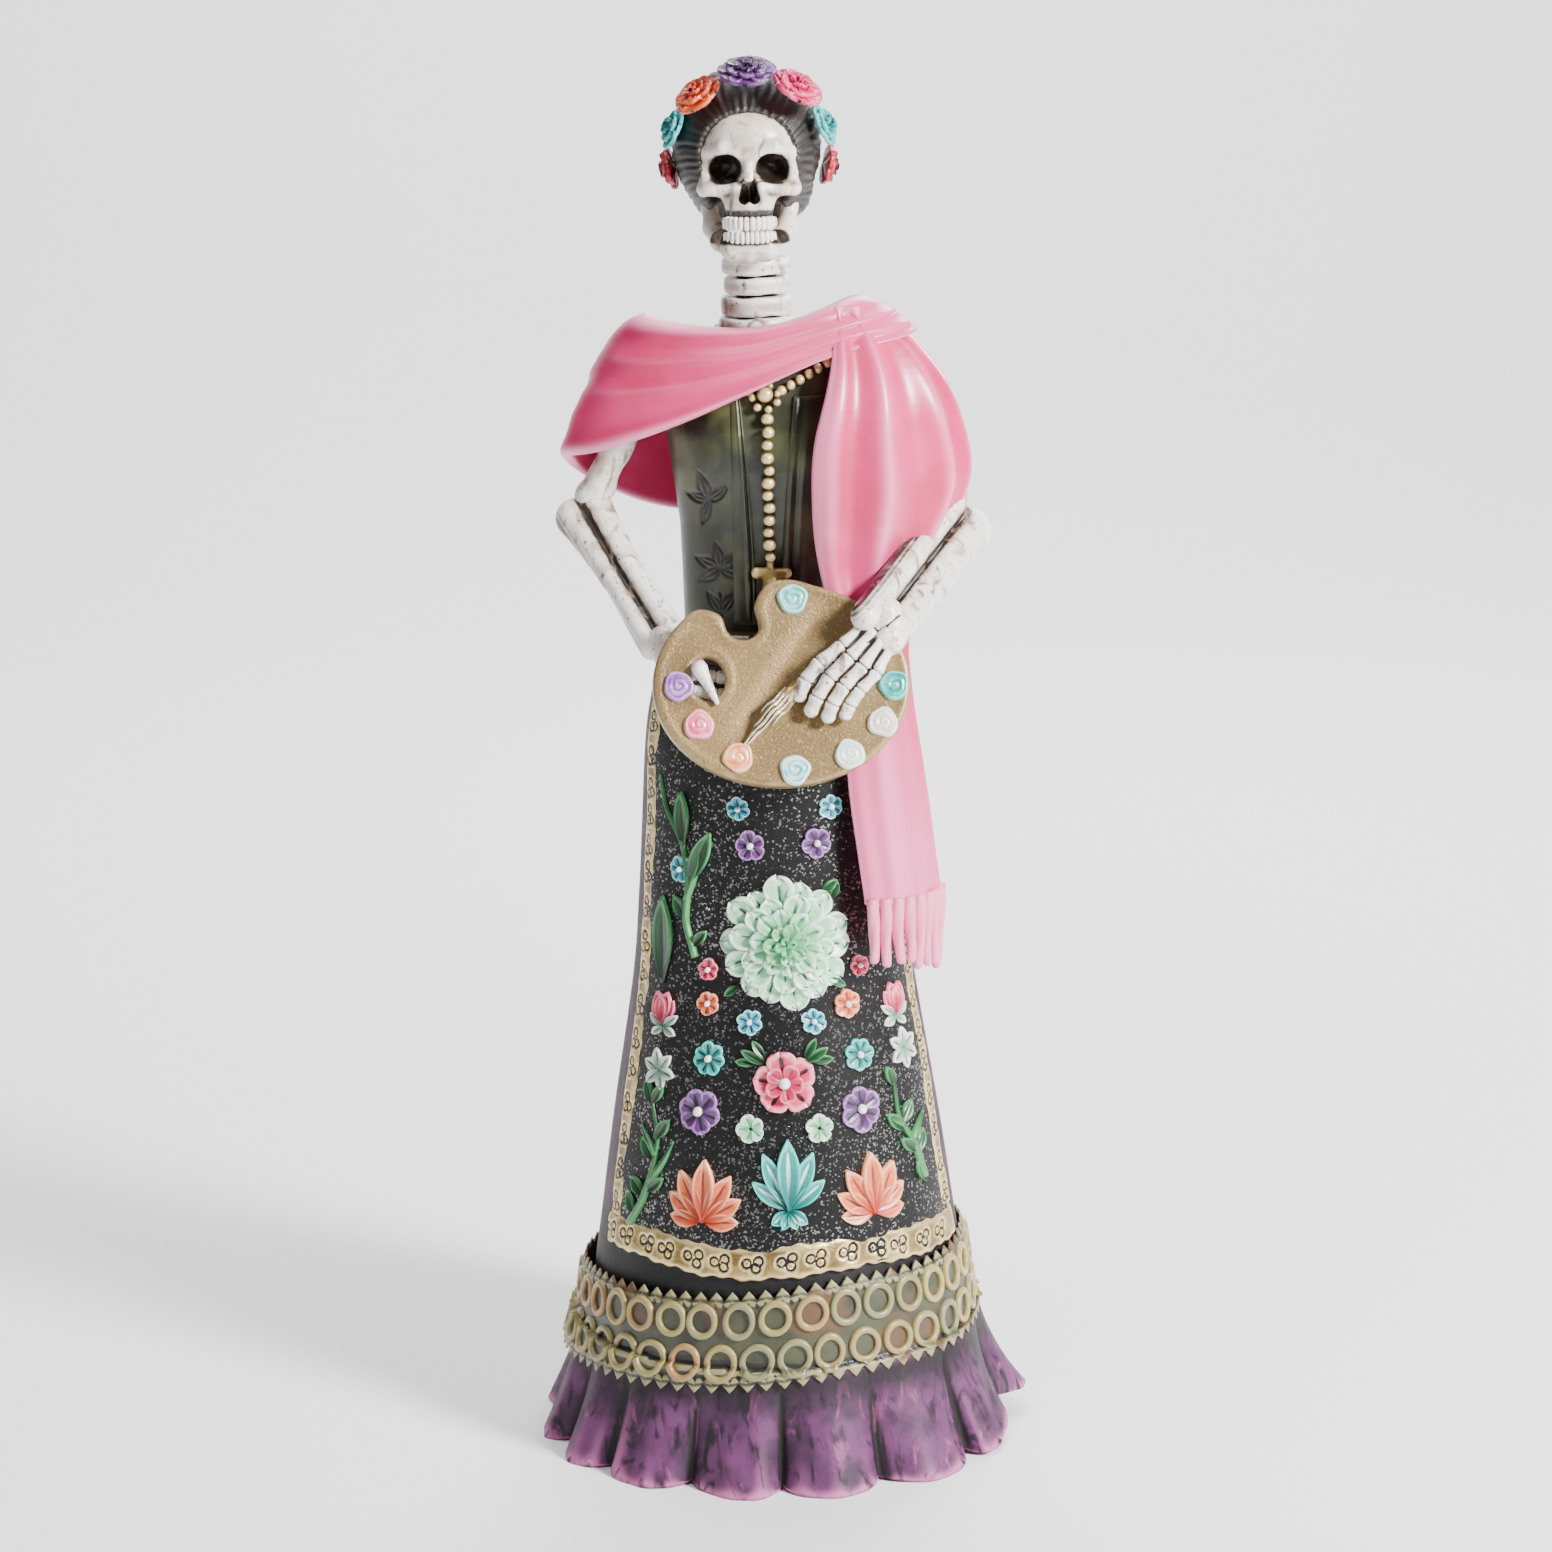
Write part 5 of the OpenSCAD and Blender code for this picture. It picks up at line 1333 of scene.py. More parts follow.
# ---------------------------------------------------------------------------
# Flower crown: seven flowers of pulp petals pasted on the hair from ear to ear
# ---------------------------------------------------------------------------
def crown_bloom(name, node, slot, material, places, counts):
    """Four layers of petals, the broad ones outermost, facing out from the head."""
    solids, tones = [], []
    for index, (x, y, z, reach) in enumerate(places):
        facing = Vector((x - head[0], 0.75 * (y - head[1] - 2), 1.25 * (z - head[2] - 4))).normalized()
        turn = facing.to_track_quat("Z", "Y").to_matrix()
        blade = dict(notch=0.04, peak=0.66, point=0.4, fine=1.5, frill=0.12)
        layers = [
            (counts, 0.8, dict(blade, length=reach - 0.8, width=reach * 1.34, lift=(0.2, 0.7), cup=0.8,
                               vein=0.1, thick=1.1)),
            (counts, 0.5, dict(blade, length=reach * 0.66, width=reach * 1.05, lift=(1.1, 1.9), cup=0.8,
                               vein=0.1, thick=1.2)),
            (4, 0.2, dict(blade, length=reach * 0.38, width=reach * 0.56, lift=(2.1, 3.0), cup=0.7, vein=0.1,
                          thick=1.4)),
            (3, 0.0, dict(blade, length=reach * 0.17, width=reach * 0.3, lift=(3.0, 3.6), cup=0.3, vein=0.0,
                          thick=1.2)),
        ]
        for px, py, top, low, tone in bloom(layers, turn=0.4 * index, seed=int(80 + x)):
            def world(height):
                spot = np.stack([px, py, height - 0.9], axis=-1) @ np.array(turn).T
                return spot + np.array([x, y, z])
            solids.append(shell(world(top), world(low)))
            tones.append(np.concatenate([tone.ravel(), tone.ravel()]))
    build(name, *gather(solids), material, slot, [node], form=(4, 0.3), tone=np.concatenate(tones))


def crown_place(node, reach, part=None):
    """Where the CAD flower's back sits, or the flower at one side (-1 or 1) of a pair."""
    points = np.array([v.co for v in frame["nodes"][node].data.vertices]) / MM
    if part is not None:
        points = points[(points[:, 0] - head[0]) * part > 0]
    return (*((points.min(axis=0) + points.max(axis=0)) / 2), reach)


edge = (0.75, 1.4)
crown_red = flower_paint("crown_red_paint", (0.12, 0.002, 0.008), (0.40, 0.006, 0.025), (0.62, 0.05, 0.08),
                         edge=edge)
crown_orange = flower_paint("crown_orange_paint", (0.48, 0.035, 0.01), (0.84, 0.10, 0.025),
                            (1.0, 0.26, 0.10), edge=edge)
crown_violet = flower_paint("crown_violet_paint", (0.035, 0.006, 0.055), (0.11, 0.028, 0.16),
                            (0.26, 0.12, 0.33), edge=edge)
crown_pink = flower_paint("crown_pink_paint", (0.50, 0.008, 0.09), (0.88, 0.030, 0.20), (1.0, 0.20, 0.36),
                          edge=edge)
crown_aqua = flower_paint("crown_aqua_paint", (0.0, 0.20, 0.22), (0.02, 0.42, 0.46), (0.22, 0.74, 0.74),
                          edge=edge)
crown_bloom("crown_purple", "crown_flower_purple", "violet_paint", crown_violet,
            [crown_place("crown_flower_purple", 7.6)], 6)
crown_bloom("crown_orange", "crown_flower_orange", "orange_paint", crown_orange,
            [crown_place("crown_flower_orange", 6.9)], 5)
crown_bloom("crown_pink", "crown_flower_pink", "magenta_paint", crown_pink,
            [crown_place("crown_flower_pink", 7.3)], 5)
crown_bloom("crown_aqua", "crown_flowers_aqua", "aqua_paint", crown_aqua,
            [crown_place("crown_flowers_aqua", 5.7, s) for s in (-1, 1)], 5)
crown_bloom("crown_red", "crown_flowers_red", "red_paint", crown_red,
            [crown_place("crown_flowers_red", 5.7, s) for s in (-1, 1)], 5)

# ---------------------------------------------------------------------------
# Arms: an upper bone, a forearm of two bones side by side, all of pulp over the bent wire
# Knobbed at both ends; the wash stays in the groove between the two forearm bones.
# ---------------------------------------------------------------------------
def between(a, b, share):
    return tuple(a[k] + (b[k] - a[k]) * share for k in range(3))


def moved(a, way, far):
    return tuple(a[k] + way[k] * far for k in range(3))


def wavy(p, size, depth):
    """A little unevenness, as of pulp smoothed by hand."""
    return depth * np.sin(p[0] / size) * np.sin(p[1] / size + 1) * np.sin(p[2] / size + 2)


def upper_bone(shoulder, elbow, across):
    def form(p):
        body = limb(p, shoulder, between(shoulder, elbow, 0.55), 5.0, 4.2)
        body = smooth_min(body, limb(p, between(shoulder, elbow, 0.5), between(shoulder, elbow, 0.84), 4.1,
                                     4.4), 2)
        for side in (-1, 1):
            knob = moved(between(shoulder, elbow, 0.86), across, side * 2.6)
            body = smooth_min(body, limb(p, knob, moved(knob, (0, 0, 1), 0.5), 3.6, 3.6), 2.4)
        return body + wavy(p, 2.9, 0.12)
    return form


def forearm(name, node, box, elbow, wrist, across, sizes, spread, shaded_side):
    """Two bones from the elbow to the wrist. Sizes are (knob, middle, end) of one bone and of the other.
    The dark groove colour stays between them, and painted shade darkens the edge on the shaded side, 1 or
    -1."""
    def one_bone(p, side):
        knob, middle, end = sizes[0 if side > 0 else 1]
        a = moved(elbow, across, side * spread[0])
        m = moved(between(elbow, wrist, 0.45), across, side * spread[1])
        b = moved(between(elbow, wrist, 0.98), across, side * spread[2])
        body = smooth_min(limb(p, a, m, knob, middle), limb(p, m, b, middle, end), 1.5)
        return smooth_min(body, limb(p, a, moved(a, (0, 0, 1), 0.6), knob, knob), 1.5)

    def darkened(p):
        way = [wrist[k] - elbow[k] for k in range(3)]
        along = sum((p[k] - elbow[k]) * way[k] for k in range(3)) / sum(w * w for w in way)
        off_axis = sum((p[k] - elbow[k] - along * way[k]) * across[k] for k in range(3))
        # Painted shade: a dark band along the edge on the side facing away from the light.
        edge = 8.0 - off_axis * shaded_side + 0.7 * np.sin(off_axis * 5 + 0.8 * np.sin(p[0] / 4))
        return np.minimum(np.abs(one_bone(p, 1) - one_bone(p, -1)) - 0.8, edge)

    made = build(name, *skin(lambda p: smooth_min(one_bone(p, 1), one_bone(p, -1), 0.7) + wavy(p, 2.9, 0.1),
                             *box, 0.45),
                 bone, "bone_paint", [node], form=(10, 0.42))
    darken_into(made, darkened, 4.5)


right_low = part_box("right_forearm")[0]
left_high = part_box("left_forearm")[1]
right_elbow = (right_low.x / MM + 6.6, 3.5, 271.0)
right_wrist = (-29.0, -25.0, 238.6)
left_elbow = (left_high.x / MM - 7.5, -2.0, 268.0)
left_wrist = (29.5, -44.0, 245.0)
right_across, left_across = (0.84, 0.1, 0.53), (-0.68, -0.12, 0.72)
build("right_upper_bone", *skin(upper_bone((-31, 3, 311), right_elbow, right_across), (-62, -7, 262),
                                (-22, 14, 320), 0.45),
      bone, "bone_paint", ["right_upper_arm"], form=(10, 0.5))
build("left_upper_bone", *skin(upper_bone((31, 3, 313), left_elbow, left_across), (22, -12, 258),
                               (66, 14, 322), 0.45),
      bone, "bone_paint", ["left_upper_arm"], form=(8, 0.6))
forearm("right_forearm_bones", "right_forearm", ((-66, -34, 228), (-18, 14, 282)), right_elbow, right_wrist,
        right_across, ((4.9, 3.5, 3.9), (5.3, 3.3, 3.8)), (3.2, 2.9, 3.4), -1)
forearm("left_forearm_bones", "left_forearm", ((17, -54, 228), (68, 12, 286)), left_elbow, left_wrist,
        left_across, ((5.2, 4.4, 4.3), (6.0, 5.2, 5.0)), (4.4, 4.9, 4.4), 1)

# ---------------------------------------------------------------------------
# Palette: a plate of pulp with a notch and a thumb hole, leaning forward on the skirt
# Antique gold, rubbed bright on the rim; eight dabs of paint with a swirl in each are pasted on it.
# ---------------------------------------------------------------------------
lean, swing = math.radians(68), math.radians(5)
face_turn = (Matrix.Rotation(swing, 3, "Z") @ Matrix.Rotation(lean, 3, "X"))
face_axes = np.array(face_turn)
face_origin = np.array([2.5, -46.0, 227.0])


def on_face(x, y, lift=0.0):
    """A place on the palette's face, x across it and y up it."""
    return tuple(face_axes @ np.array([x, y, lift]) + face_origin)


def to_face(p):
    """Grid points as seen from the palette's face."""
    q = [p[k] - face_origin[k] for k in range(3)]
    return [sum(face_axes[k][n] * q[k] for k in range(3)) for n in range(3)]


def palette_form(p):
    u, v, w = to_face(p)
    flat = np.sqrt(((u - 1.4) / 35.6) ** 2 + ((v - 3.7) / 28.6) ** 2)
    plan = (flat - 1) * 28.6 * np.maximum(flat, 0.3) / np.maximum(np.sqrt(
        ((u - 1.4) / 35.6 * 28.6 / 35.6) ** 2 + ((v - 3.7) / 28.6) ** 2), 0.3)
    notch = smooth_min(np.hypot(u + 8.6, v - 21.5) - 5.0, np.hypot((u + 12.5) * 0.8, v - 32) - 8.0, 4.0)
    plan = cut(plan, notch, 3.5)
    plan = smooth_min(plan, np.hypot(u - 4.0, v - 24.5) - 8.2, 2.5)
    hole = np.sqrt(((u + 19.0) / 4.9) ** 2 + ((v - 6.0) / 6.0) ** 2) * 5.2 - 5.2
    plan = cut(plan, hole, 0.8)
    dish = 0.55 * np.exp(-((plan + 1.6) / 1.1) ** 2)
    scoop = (0.9 * np.exp(-(((u - v * 0.72 + 3.5) / 4.0) ** 2)) * np.clip((v + 14) / 10, 0, 1)
             * np.clip((30 - v) / 10, 0, 1))
    slab = np.abs(w + 2.6 + 0.35 * scoop) - 2.6 - 0.35 * dish + 0.35 * scoop
    inside = np.minimum(np.maximum(plan + 1.1, slab + 1.1), 0)
    return np.sqrt(np.maximum(plan + 1.1, 0) ** 2 + np.maximum(slab + 1.1, 0) ** 2) + inside - 1.1


palette_gold, tree, shader, colour = painted(
    "palette_gold", (0.27, 0.175, 0.07), (0.20, 0.125, 0.05), (0.66, 0.50, 0.27), groove_colour=(0.02, 0.012, 0.006),
    roughness=0.42, coat=0.12, blotch_mm=22.0, groove_from=0.2, groove_to=0.4, light_from=0.56, light_to=0.85,
    grain_mm=0.6, grain_depth=0.12, metallic=0.35)
dust = grey(tree, noise(tree, 0.7, 5.0), 0.5, 0.72)
colour = mix(tree, dust, colour, (0.42, 0.30, 0.14))
dark_dust = grey(tree, noise(tree, 1.0, 5.0, (1, 1, 1.1)), 0.6, 0.74)
tree.links.new(mix(tree, dark_dust, colour, (0.13, 0.08, 0.032)), shader.inputs["Base Color"])
build("palette_plate", *skin(palette_form, (-36, -62, 197), (44, -26, 262), 0.45),
      palette_gold, "gold_paint", ["palette"], form=(6, 0.5))


def dab(x, y, radius, seed):
    """A round dab with a raised rim and a brush swirl."""
    a = np.linspace(0, 2 * math.pi, 34, endpoint=False)[:, None]
    share = np.linspace(0.03, 1, 16)[None, :]
    edge = radius * (1 + 0.05 * np.sin(3 * a + seed) + 0.03 * np.sin(5 * a + 2 * seed))
    u, v = x + share * edge * np.cos(a), y + share * edge * np.sin(a)
    swirl = 0.22 * np.sin(5 * share * math.pi + a + seed)
    lift = (1.35 * np.sqrt(np.maximum(0, 1 - share**5)) + swirl * (1 - share)
            + 0.35 * np.exp(-((share - 0.86) / 0.08) ** 2))
    top = np.stack([u, v, lift + 0 * u], axis=-1) @ face_axes.T + face_origin
    low = np.stack([u, v, 0 * u - 0.5], axis=-1) @ face_axes.T + face_origin
    return shell(top, low, ring=True)


dab_colours = [("aqua_dab", 5.4, 27.4, (0.03, 0.42, 0.47), (0.42, 0.85, 0.82)),
               ("violet_dab", -27.2, 4.0, (0.20, 0.06, 0.32), (0.52, 0.28, 0.62)),
               ("pink_dab", -22.1, -7.0, (0.78, 0.05, 0.16), (0.98, 0.38, 0.46)),
               ("orange_dab", -11.8, -16.4, (0.84, 0.17, 0.045), (1.0, 0.60, 0.34)),
               ("turquoise_dab", 3.7, -20.4, (0.04, 0.48, 0.52), (0.75, 0.95, 0.93)),
               ("mint_dab", 19.0, -16.6, (0.62, 0.80, 0.70), (0.94, 0.97, 0.93)),
               ("rose_white_dab", 28.6, -8.0, (0.74, 0.60, 0.60), (0.97, 0.92, 0.92)),
               ("teal_dab", 32.2, 2.2, (0.0, 0.28, 0.25), (0.12, 0.66, 0.58))]
for index, (name, x, y, deep_tone, light_tone) in enumerate(dab_colours):
    dab_paint, tree, shader, colour = painted(name + "_paint", deep_tone, light_tone, light_tone,
                                              groove_colour=deep_tone,
                                              roughness=0.28, coat=0.5, blotch_mm=3.2, groove_from=0.3,
                                              groove_to=0.5)
    build(name, *dab(x, y, 4.25, index * 1.7), dab_paint, "aqua_paint", ["paint_dabs"], form=(3, 0.2))

# ---------------------------------------------------------------------------
# Brush: a gilded handle gripped by the fingers, with a flame of bristles laid on the palette
# ---------------------------------------------------------------------------
root, belly, tip = on_face(3.4, 0.4, 2.4), on_face(-1.6, -4.4, 2.4), on_face(-9.6, -13.0, 1.2)


def bristle_form(p):
    u, v, _ = to_face(p)
    body = limb(p, root, belly, 2.2, 2.7)
    body = smooth_min(body, limb(p, belly, tip, 2.6, 0.5), 1.5)
    along = u * 0.72 + v * 0.69
    aside = u * 0.69 - v * 0.72
    return (body + 0.2 * np.sin(aside * 5.2 + 0.8 * np.sin(along * 0.9))
            + 0.12 * np.sin(aside * 9 + along * 0.7))


bristle_gold, tree, shader, colour = painted(
    "bristle_gold", (0.36, 0.26, 0.12), (0.20, 0.14, 0.06), (0.90, 0.80, 0.55), groove_colour=(0.03, 0.02, 0.01),
    roughness=0.36, coat=0.2, blotch_mm=3.0, groove_from=0.3, groove_to=0.5, light_from=0.54, light_to=0.72,
    metallic=0.3)
build("bristle_flame", *skin(bristle_form, (-12, -60, 210), (12, -42, 234), 0.3), bristle_gold, "gold_paint",
      ["brush_bristles"], form=(3, 0.16))


def handle_form(p):
    body = limb(p, on_face(2.6, -0.4, 2.6), on_face(6.4, 3.2, 2.6), 2.3, 1.7)
    body = smooth_min(body, limb(p, on_face(6.4, 3.2, 2.6), on_face(21, 15, 2.8), 1.6, 1.1), 0.5)
    return body


build("gilded_handle", *skin(handle_form, (0, -52, 222), (28, -36, 248), 0.35), antique_gold, "gold_paint",
      ["brush_handle"], form=(4, 0.25))

# ---------------------------------------------------------------------------
# Hands: finger bones of pulp laid side by side, cut at each joint
# Her left hand lies over the palette and grips the brush; the right one holds it, thumb through the hole.
# ---------------------------------------------------------------------------
def finger(p, joints, radius):
    """Bones end to end, each waisted in the middle, parted by a thin cut at the joints."""
    body = None
    for a, b in zip(joints[:-1], joints[1:]):
        start, end = between(a, b, 0.08), between(a, b, 0.92)
        half = between(a, b, 0.5)
        piece = smooth_min(limb(p, start, half, radius, radius * 0.82),
                           limb(p, half, end, radius * 0.82, radius * 0.96), 0.3)
        body = piece if body is None else np.minimum(body, piece)
    for a, joint, b in zip(joints[:-2], joints[1:-1], joints[2:]):
        way = [b[k] - a[k] for k in range(3)]
        size = math.sqrt(sum(w * w for w in way))
        along = sum((p[k] - joint[k]) * way[k] for k in range(3)) / size
        body = body + 0.5 * np.exp(-((along / 0.32) ** 2))
    return body


left_fingers = [
    ([on_face(24.4, 17.6, 6.6), on_face(17.8, 12.4, 7.0), on_face(11.4, 8.0, 6.8), on_face(7.4, 3.6, 5.2),
      on_face(5.6, -0.6, 3.6)], 2.15),
    ([on_face(26.2, 15.4, 7.4), on_face(19.6, 9.0, 7.8), on_face(13.8, 3.6, 7.4), on_face(10.4, -1.2, 5.6),
      on_face(8.6, -4.8, 3.2)], 2.2),
    ([on_face(28.2, 13.4, 7.2), on_face(23.0, 6.4, 7.6), on_face(17.6, 1.2, 7.2), on_face(14.6, -3.2, 5.4),
      on_face(13.2, -6.6, 3.0)], 2.15),
    ([on_face(30.6, 11.8, 6.4), on_face(26.8, 4.8, 6.8), on_face(22.2, 0.2, 6.4), on_face(19.4, -3.6, 4.8),
      on_face(18.0, -6.2, 3.0)], 2.0),
]


def left_hand_form(p):
    body = limb(p, on_face(30.4, 21.4, 5.4), on_face(25.4, 17.0, 5.4), 4.7, 4.2)
    body = smooth_min(body, limb(p, on_face(31.4, 17.4, 6.0), on_face(29.4, 13.4, 5.6), 4.4, 3.0), 1.0)
    for joints, radius in left_fingers:
        body = smooth_min(body, finger(p, joints, radius), 0.35)
    thumb = [on_face(24.0, 15.0, 3.4), on_face(15.0, 8.6, 2.8), on_face(8.8, 3.6, 3.4)]
    body = smooth_min(body, finger(p, thumb, 1.9), 0.35)
    # The little bones of the wrist are marked by crossing cuts.
    u, v, _ = to_face(p)
    cuts = np.minimum(np.abs(np.hypot(u - 33, v - 22.5) - 8.6),
                      np.abs(u * 0.62 - v * 0.78 - 5.4) + 0.5 * (u < 24))
    return np.maximum(body, body + 0.5 * np.exp(-((cuts / 0.35) ** 2)) * (np.hypot(u - 28, v - 18) < 6.5))


def finger_gaps(p):
    """Under 0 in the crevices between neighbouring fingers, and a little way up the back of the hand."""
    reach = np.sort([finger(p, joints, radius) for joints, radius in left_fingers], axis=0)
    return reach[1] - reach[0] - 0.5 + 0.4 * np.maximum(reach[0] - 1.5, 0)


left_hand_made = build("left_hand_bones", *skin(left_hand_form, (2, -60, 215), (42, -32, 258), 0.34),
                       bone, "bone_paint", ["left_hand"], form=(7, 0.26))
darken_into(left_hand_made, finger_gaps, 1.3)


def right_hand_form(p):
    body = limb(p, right_wrist, on_face(-26, 9, -10.5), 5.0, 4.4)
    body = smooth_min(body, limb(p, on_face(-27, 8, -9.5), on_face(-21.5, 9.6, -3.5), 3.2, 2.6), 1.0)
    body = smooth_min(body, limb(p, on_face(-21.6, 9.4, -3.0), on_face(-21.2, 8.4, 1.6), 2.4, 2.1), 0.6)
    body = smooth_min(body, limb(p, on_face(-21.2, 8.2, 1.7), on_face(-16.9, -1.2, 1.5), 2.15, 0.65), 0.5)
    for k in range(4):
        joints = [on_face(-24, 9 - 4.4 * k, -10.0), on_face(-16, 8 - 4.9 * k, -9.6),
                  on_face(-8.5, 6.6 - 5.1 * k, -8.8),
                  on_face(-2.5, 5.0 - 5.2 * k, -8.0)]
        body = smooth_min(body, finger(p, joints, 1.9), 0.35)
    return body


build("right_hand_bones", *skin(right_hand_form, (-38, -58, 206), (4, -20, 252), 0.38),
      bone, "bone_paint", ["right_hand"], form=(7, 0.3))

# ---------------------------------------------------------------------------
# Shawl: one thick sheet of damp pulp and paste draped over both shoulders, left to harden in its folds
# It crosses the chest from her right arm to her left shoulder and its end hangs down in front, fringed.
# ---------------------------------------------------------------------------
shawl_low, shawl_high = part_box("shawl_wrap")
shoulder_half = (shawl_high.x - shawl_low.x) / 2 / MM - 0.8

# The dark pink groove colour in the fold valleys is painted shade, and the pale pink light colour on the
# fold crests a painted highlight.
shawl_paint, tree, shader, colour = painted(
    "shawl_paint", (0.70, 0.026, 0.155), (0.56, 0.014, 0.095), (0.92, 0.24, 0.44), groove_colour=(0.26, 0.003, 0.036),
    roughness=0.38, coat=0.3, blotch_mm=24.0, groove_from=0.12, groove_to=0.48, light_from=0.52, light_to=0.84,
    grain_mm=1.4, grain_depth=0.03)
# Tone mixes in paler pink: a painted highlight on the wrap across the chest towards her left side and on the
# hanging end; the fringe takes an even 0.15 of it.
tone = attribute(tree, "tone")
tree.links.new(mix(tree, grey(tree, tone, 0.0, 1.0), colour, (0.90, 0.19, 0.42), "MIX"),
               shader.inputs["Base Color"])


def ridge(v, centre, width, sharp=2.0):
    return np.exp(-(np.abs((v - centre) / width) ** sharp))


# Half of the depth over the shoulders, and the height from which they slope in.
shoulder_depth, slope_foot, slope_rise = 24.5, 280, 58


def drape_half(z):
    """Share of the full shoulder width at a height."""
    return np.sqrt(np.maximum(0.02, 1 - (np.maximum(0, z - slope_foot) / slope_rise) ** 2.2))


def draped(angle, z, off):
    full = drape_half(z)
    return np.stack([(shoulder_half * full + off) * np.sin(angle),
                     1 - (shoulder_depth * full + off) * np.cos(angle), z + 0 * angle], axis=-1)


wrap_angles = np.radians([-268, -230, -180, -150, -120, -90, -62, -30, 0, 25, 50, 80, 120])
wrap_top = [331, 325, 320, 321, 324.5, 328.5, 327, 325.5, 324.8, 329, 332, 332.5, 330]
wrap_low = [270, 267, 265, 268, 279, 287.5, 289, 298, 309, 317.5, 321, 322, 319]
wrap_lift = [0.4, 0.4, 0.4, 0.4, 0.4, 0.5, 0.6, 0.8, 1.6, 3.4, 4.0, 3.0, 0.6]
a = np.radians(np.linspace(-268, 120, 420))[:, None]
v = np.linspace(0, 1, 84)[None, :]


def eased(values):
    """Smooth course of a measure round the shoulders."""
    return np.array([np.mean(np.interp(x + np.radians([-12, -8, -4, 0, 4, 8, 12]), wrap_angles, values))
                     for x in a[:, 0]])[:, None]


top_z, low_z, lift = eased(wrap_top), eased(wrap_low), eased(wrap_lift)
z = top_z + (low_z - top_z) * v
chest = np.clip((a + 1.9) / 0.8, 0, 1) * np.clip((2.3 - a) / 0.5, 0, 1)
gathered = np.clip((a + 0.7) / 1.4, 0, 1)
course = a - 0.2
folds = (2.0 * ridge(v, 0.07 + 0.03 * np.sin(course * 1.5), 0.09 + 0.07 * gathered)
         + (1.6 + 0.8 * gathered) * ridge(v, 0.34 + 0.06 * np.sin(course * 1.3 + 0.6),
                                          0.10 + 0.06 * gathered, 1.7)
         + (1.2 + 0.7 * gathered) * ridge(v, 0.62 + 0.07 * course * chest, 0.09 + 0.05 * gathered, 1.6)
         + 1.1 * ridge(v, 0.93, 0.08))
folds = folds - 0.6 * ridge(v, 0.42 + 0.06 * np.sin(course * 1.7 + 1), 0.04, 1.3) * gathered
back_folds = (1.6 * ridge(v, 0.05, 0.08) + 1.6 * ridge(v, 0.27 + 0.11 * np.sin(a), 0.09, 1.6)
              + 1.2 * ridge(v, 0.52 + 0.15 * np.sin(a - 0.3), 0.07, 1.4)
              + 1.0 * ridge(v, 0.77 + 0.08 * np.sin(a + 0.4), 0.08, 1.6)
              + 0.8 * ridge(v, 0.95, 0.05))
arm_side = ridge(a, math.radians(-88), 0.55)
slope_folds = 1.1 * np.sin(6 * v + 3.6 * a + 1.2) * arm_side * np.clip(v * 2, 0, 1)
relief = folds * chest + back_folds * (1 - chest) + slope_folds
edge_z = 0.6 * np.sin(a * 4.0 + 0.7) * v
off = lift + relief
roll = 2.4 * (np.clip((v - 0.94) / 0.06, 0, 1) ** 3) + 2.0 * (np.clip((0.05 - v) / 0.05, 0, 1) ** 3)
outer = draped(a, z + edge_z, off - roll * 0.5)
inner = draped(a, z + edge_z + 0.6 * np.clip((v - 0.9) / 0.1, 0, 1), lift - 2.0 + 0 * z)
points, faces = shell(outer, inner)
# Painted highlight: the wrap across the chest is paler towards her left side.
shade = np.clip(0.35 + 0.35 * np.sin(a) + 0 * z, 0, 1) * chest * 0.7
build("shawl_over_shoulders", points, faces, shawl_paint, "shawl_paint", ["shawl_wrap"], form=(16, 0.9),
      tone=np.concatenate([shade.ravel(), np.zeros(inner[..., 0].size)]))

# The end that hangs from her left shoulder: over the upper arm, then between the forearm and the body.
fall_z = [150, 165, 197, 220, 237, 250, 257, 262, 270, 277, 285, 292, 300, 306, 318, 330]
edge_in_x = [26, 26, 21.8, 20.5, 18.5, 16.5, 15, 14, 13, 12.8, 12.8, 13.2, 15, 17, 19.5, 20]
edge_in_y = [-40.5, -40, -36.5, -35.5, -33.5, -31, -29.5, -28.5, -28, -27.5, -27, -26.5, -26, -25, -20, -13]
edge_out_x = [48, 47.5, 43.5, 40, 38.5, 42, 44, 47, 51.5, 55.5, 56.5, 54.5, 52.2, 50, 41.5, 28]
edge_out_y = [-22, -22, -19, -17.5, -16, -10, -6, -3, 0, 2.5, 3, 3, 3, 3, 2.5, 2]
z = np.linspace(330, 165.5, 330)[None, :]
s = np.linspace(0, 1, 110)[:, None]


def along_fall(values):
    return sum(np.interp(z + shift, fall_z, values) for shift in (-5, -2.5, 0, 2.5, 5)) / 5


xi, yi, xo, yo = (along_fall(values) for values in (edge_in_x, edge_in_y, edge_out_x, edge_out_y))
bow = s * math.pi / 2
x, y = xi + (xo - xi) * np.sin(bow), yo + (yi - yo) * np.cos(bow)
out_x, out_y = np.sin(bow), -np.cos(bow)
upper = np.clip((z - 236) / 22, 0, 1)
fan = (z - 250) / 80
strength = 0.8 + 1.5 * np.clip((z - 240) / 30, 0, 1) * np.clip((338 - z) / 40, 0, 1)
folds = (1.5 * ridge(s, 0.07, 0.08) + 1.9 * ridge(s, 0.31 + 0.03 * fan + 0.015 * np.sin(z / 17), 0.10, 1.8)
         + 2.1 * ridge(s, 0.60 + 0.09 * fan + 0.02 * np.sin(z / 14 + 1), 0.105, 1.7)
         + 1.7 * ridge(s, 0.88 + 0.03 * fan, 0.09, 1.8))
folds = folds * strength + 0.5 * np.sin(z / 11 + 6 * s) * upper * np.clip((z - 236) / 30, 0, 1)
thick = 2.2
x_out, y_out = x + folds * out_x * 0.8, y + folds * out_y
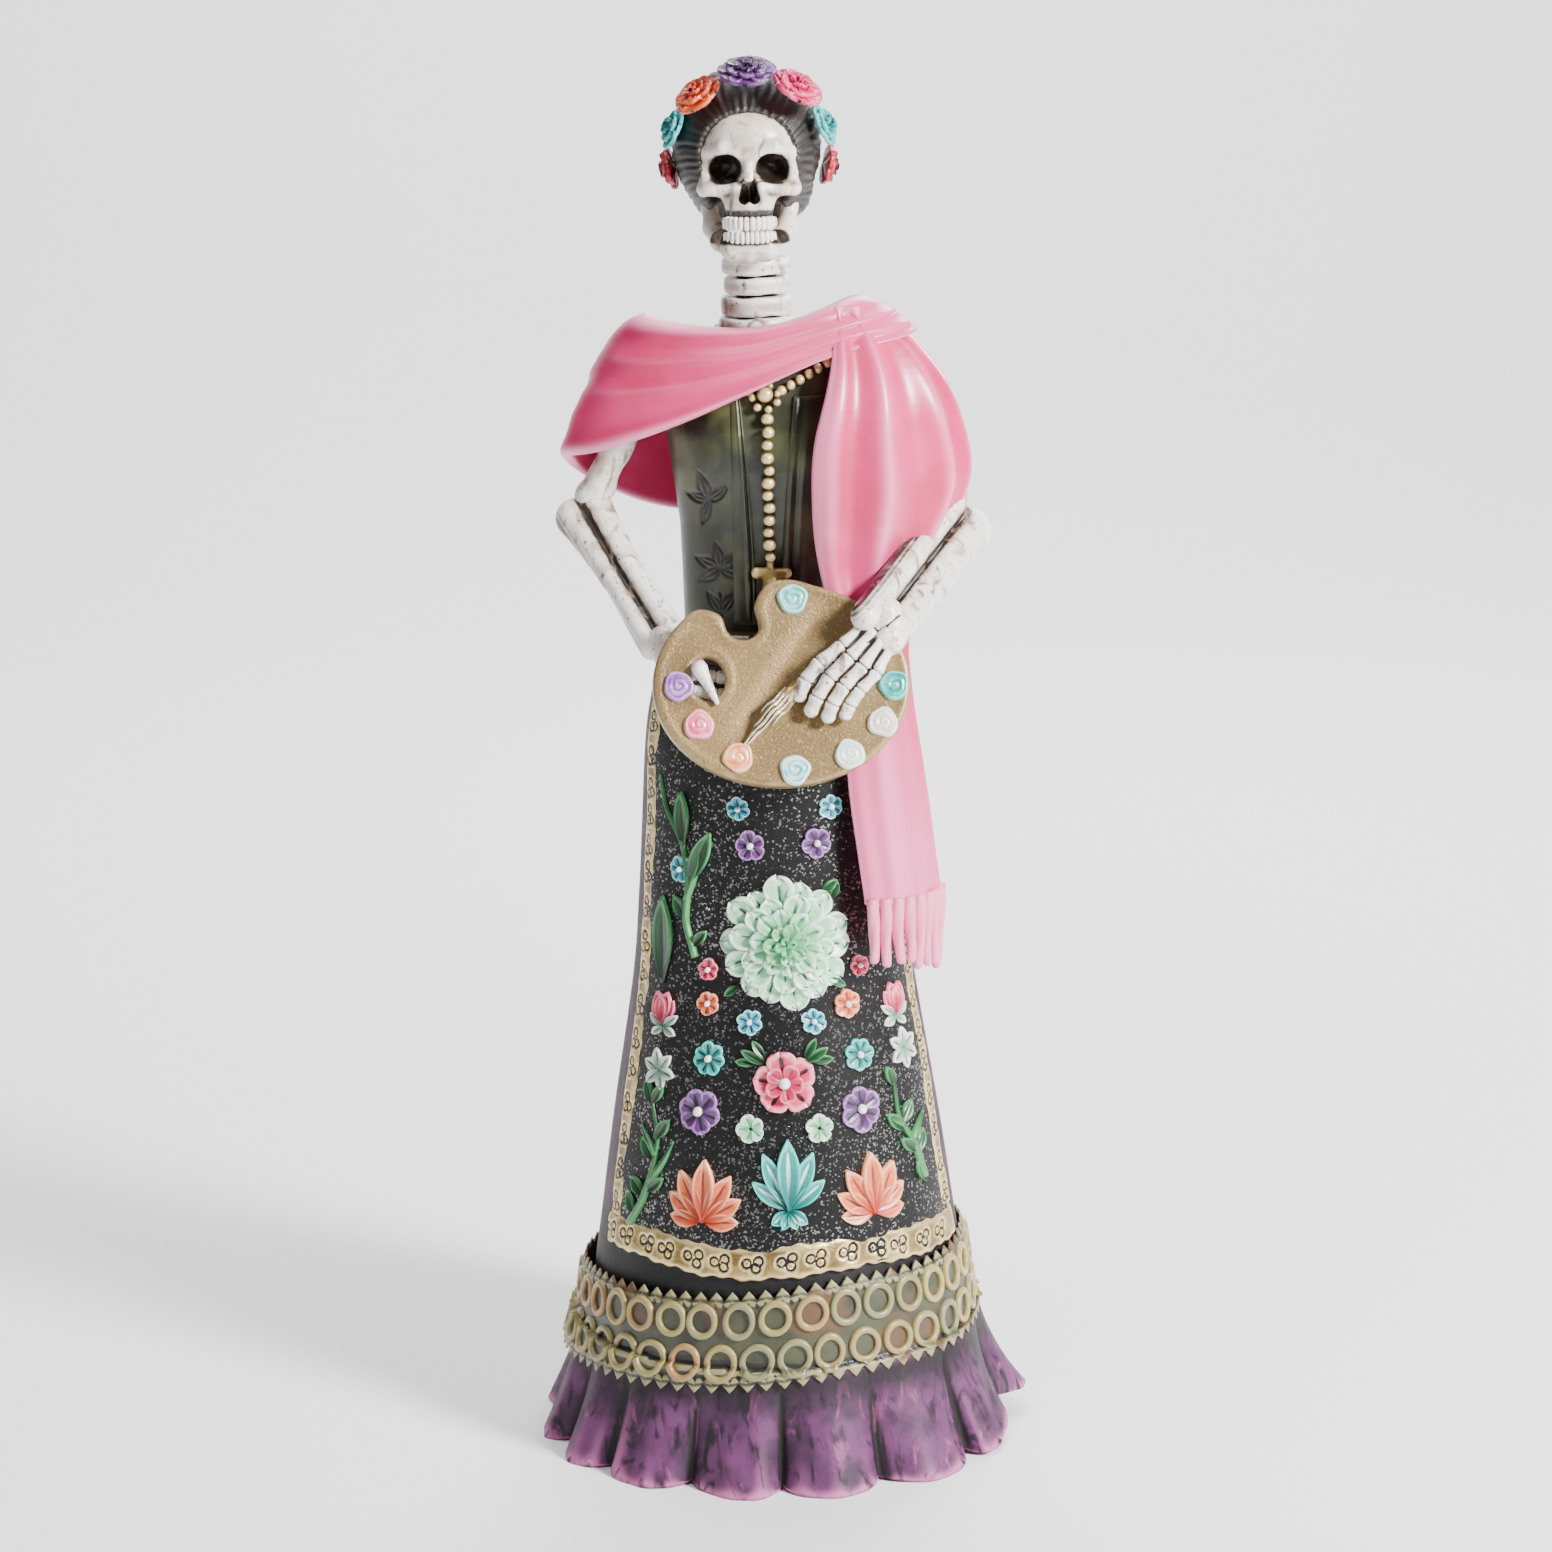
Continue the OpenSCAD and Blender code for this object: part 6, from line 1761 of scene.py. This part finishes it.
hem = 0.6 * np.cos(34 * s) * np.clip((172 - z) / 6, 0, 1)
outer = np.stack([x_out, y_out, z + hem + 0 * s], axis=-1)
inner = np.stack([x - thick * out_x, y - thick * out_y, z + hem + 0 * s], axis=-1)
# Painted highlight on the hanging end: paler towards its foot and along the crest of one fold.
painted_highlight_end = np.clip((250 - z) / 70, 0, 1) * 0.6 + 0.35 * ridge(s, 0.34, 0.14) + 0 * s
build("shawl_hanging_end", *shell(outer, inner), shawl_paint, "shawl_paint", ["shawl_fall"], form=(16, 0.8),
      tone=np.concatenate([np.clip(painted_highlight_end, 0, 1).ravel(), np.zeros(inner[..., 0].size)]))

# Fringe: strands of the same pulp, rolled and pressed side by side under the hem.
fringe_parts, fringe_tones = [], []
strand_count = 9
for k in range(strand_count):
    share = (k + 0.5) / strand_count
    bow = share * math.pi / 2
    px = 26 + (47.5 - 26) * math.sin(bow)
    py = -22 + (-40 + 22) * math.cos(bow)
    foot_z = 149.5 - 6.5 * share + luck.uniform(-1, 1)
    t = np.linspace(0, 1, 26)[None, :]
    rim = np.linspace(0, 2 * math.pi, 14, endpoint=False)[:, None]
    radius = 1.75 * (1 - 0.3 * t**2) * np.sqrt(np.clip((1.02 - t) / 0.06, 0, 1)) + 0.03
    sway = 0.5 * np.sin(4 * t + k * 1.7) * t
    drift = (share - 0.5) * -1.5 * t
    groove = 1 + 0.09 * np.sin(3 * rim + 9 * t)
    gx = px + sway + drift + radius * groove * np.cos(rim)
    gy = py - 0.2 + 0.4 * np.cos(3 * t + k) * t + radius * groove * np.sin(rim)
    gz = 167.5 + (foot_z - 167.5) * t + 0 * rim
    grid = np.stack(np.broadcast_arrays(gx, gy, gz), axis=-1)
    core = np.stack(np.broadcast_arrays(px + sway + drift + 0 * rim, py + 0 * gz, gz), axis=-1)
    part = shell(grid, core + (grid - core) * 0.25, ring=True)
    fringe_parts.append(part)
    fringe_tones.append(np.full(len(part[0]), 0.15))
build("shawl_strands", *gather(fringe_parts), shawl_paint, "shawl_paint", ["shawl_fringe"], form=(4, 0.35),
      tone=np.concatenate(fringe_tones))
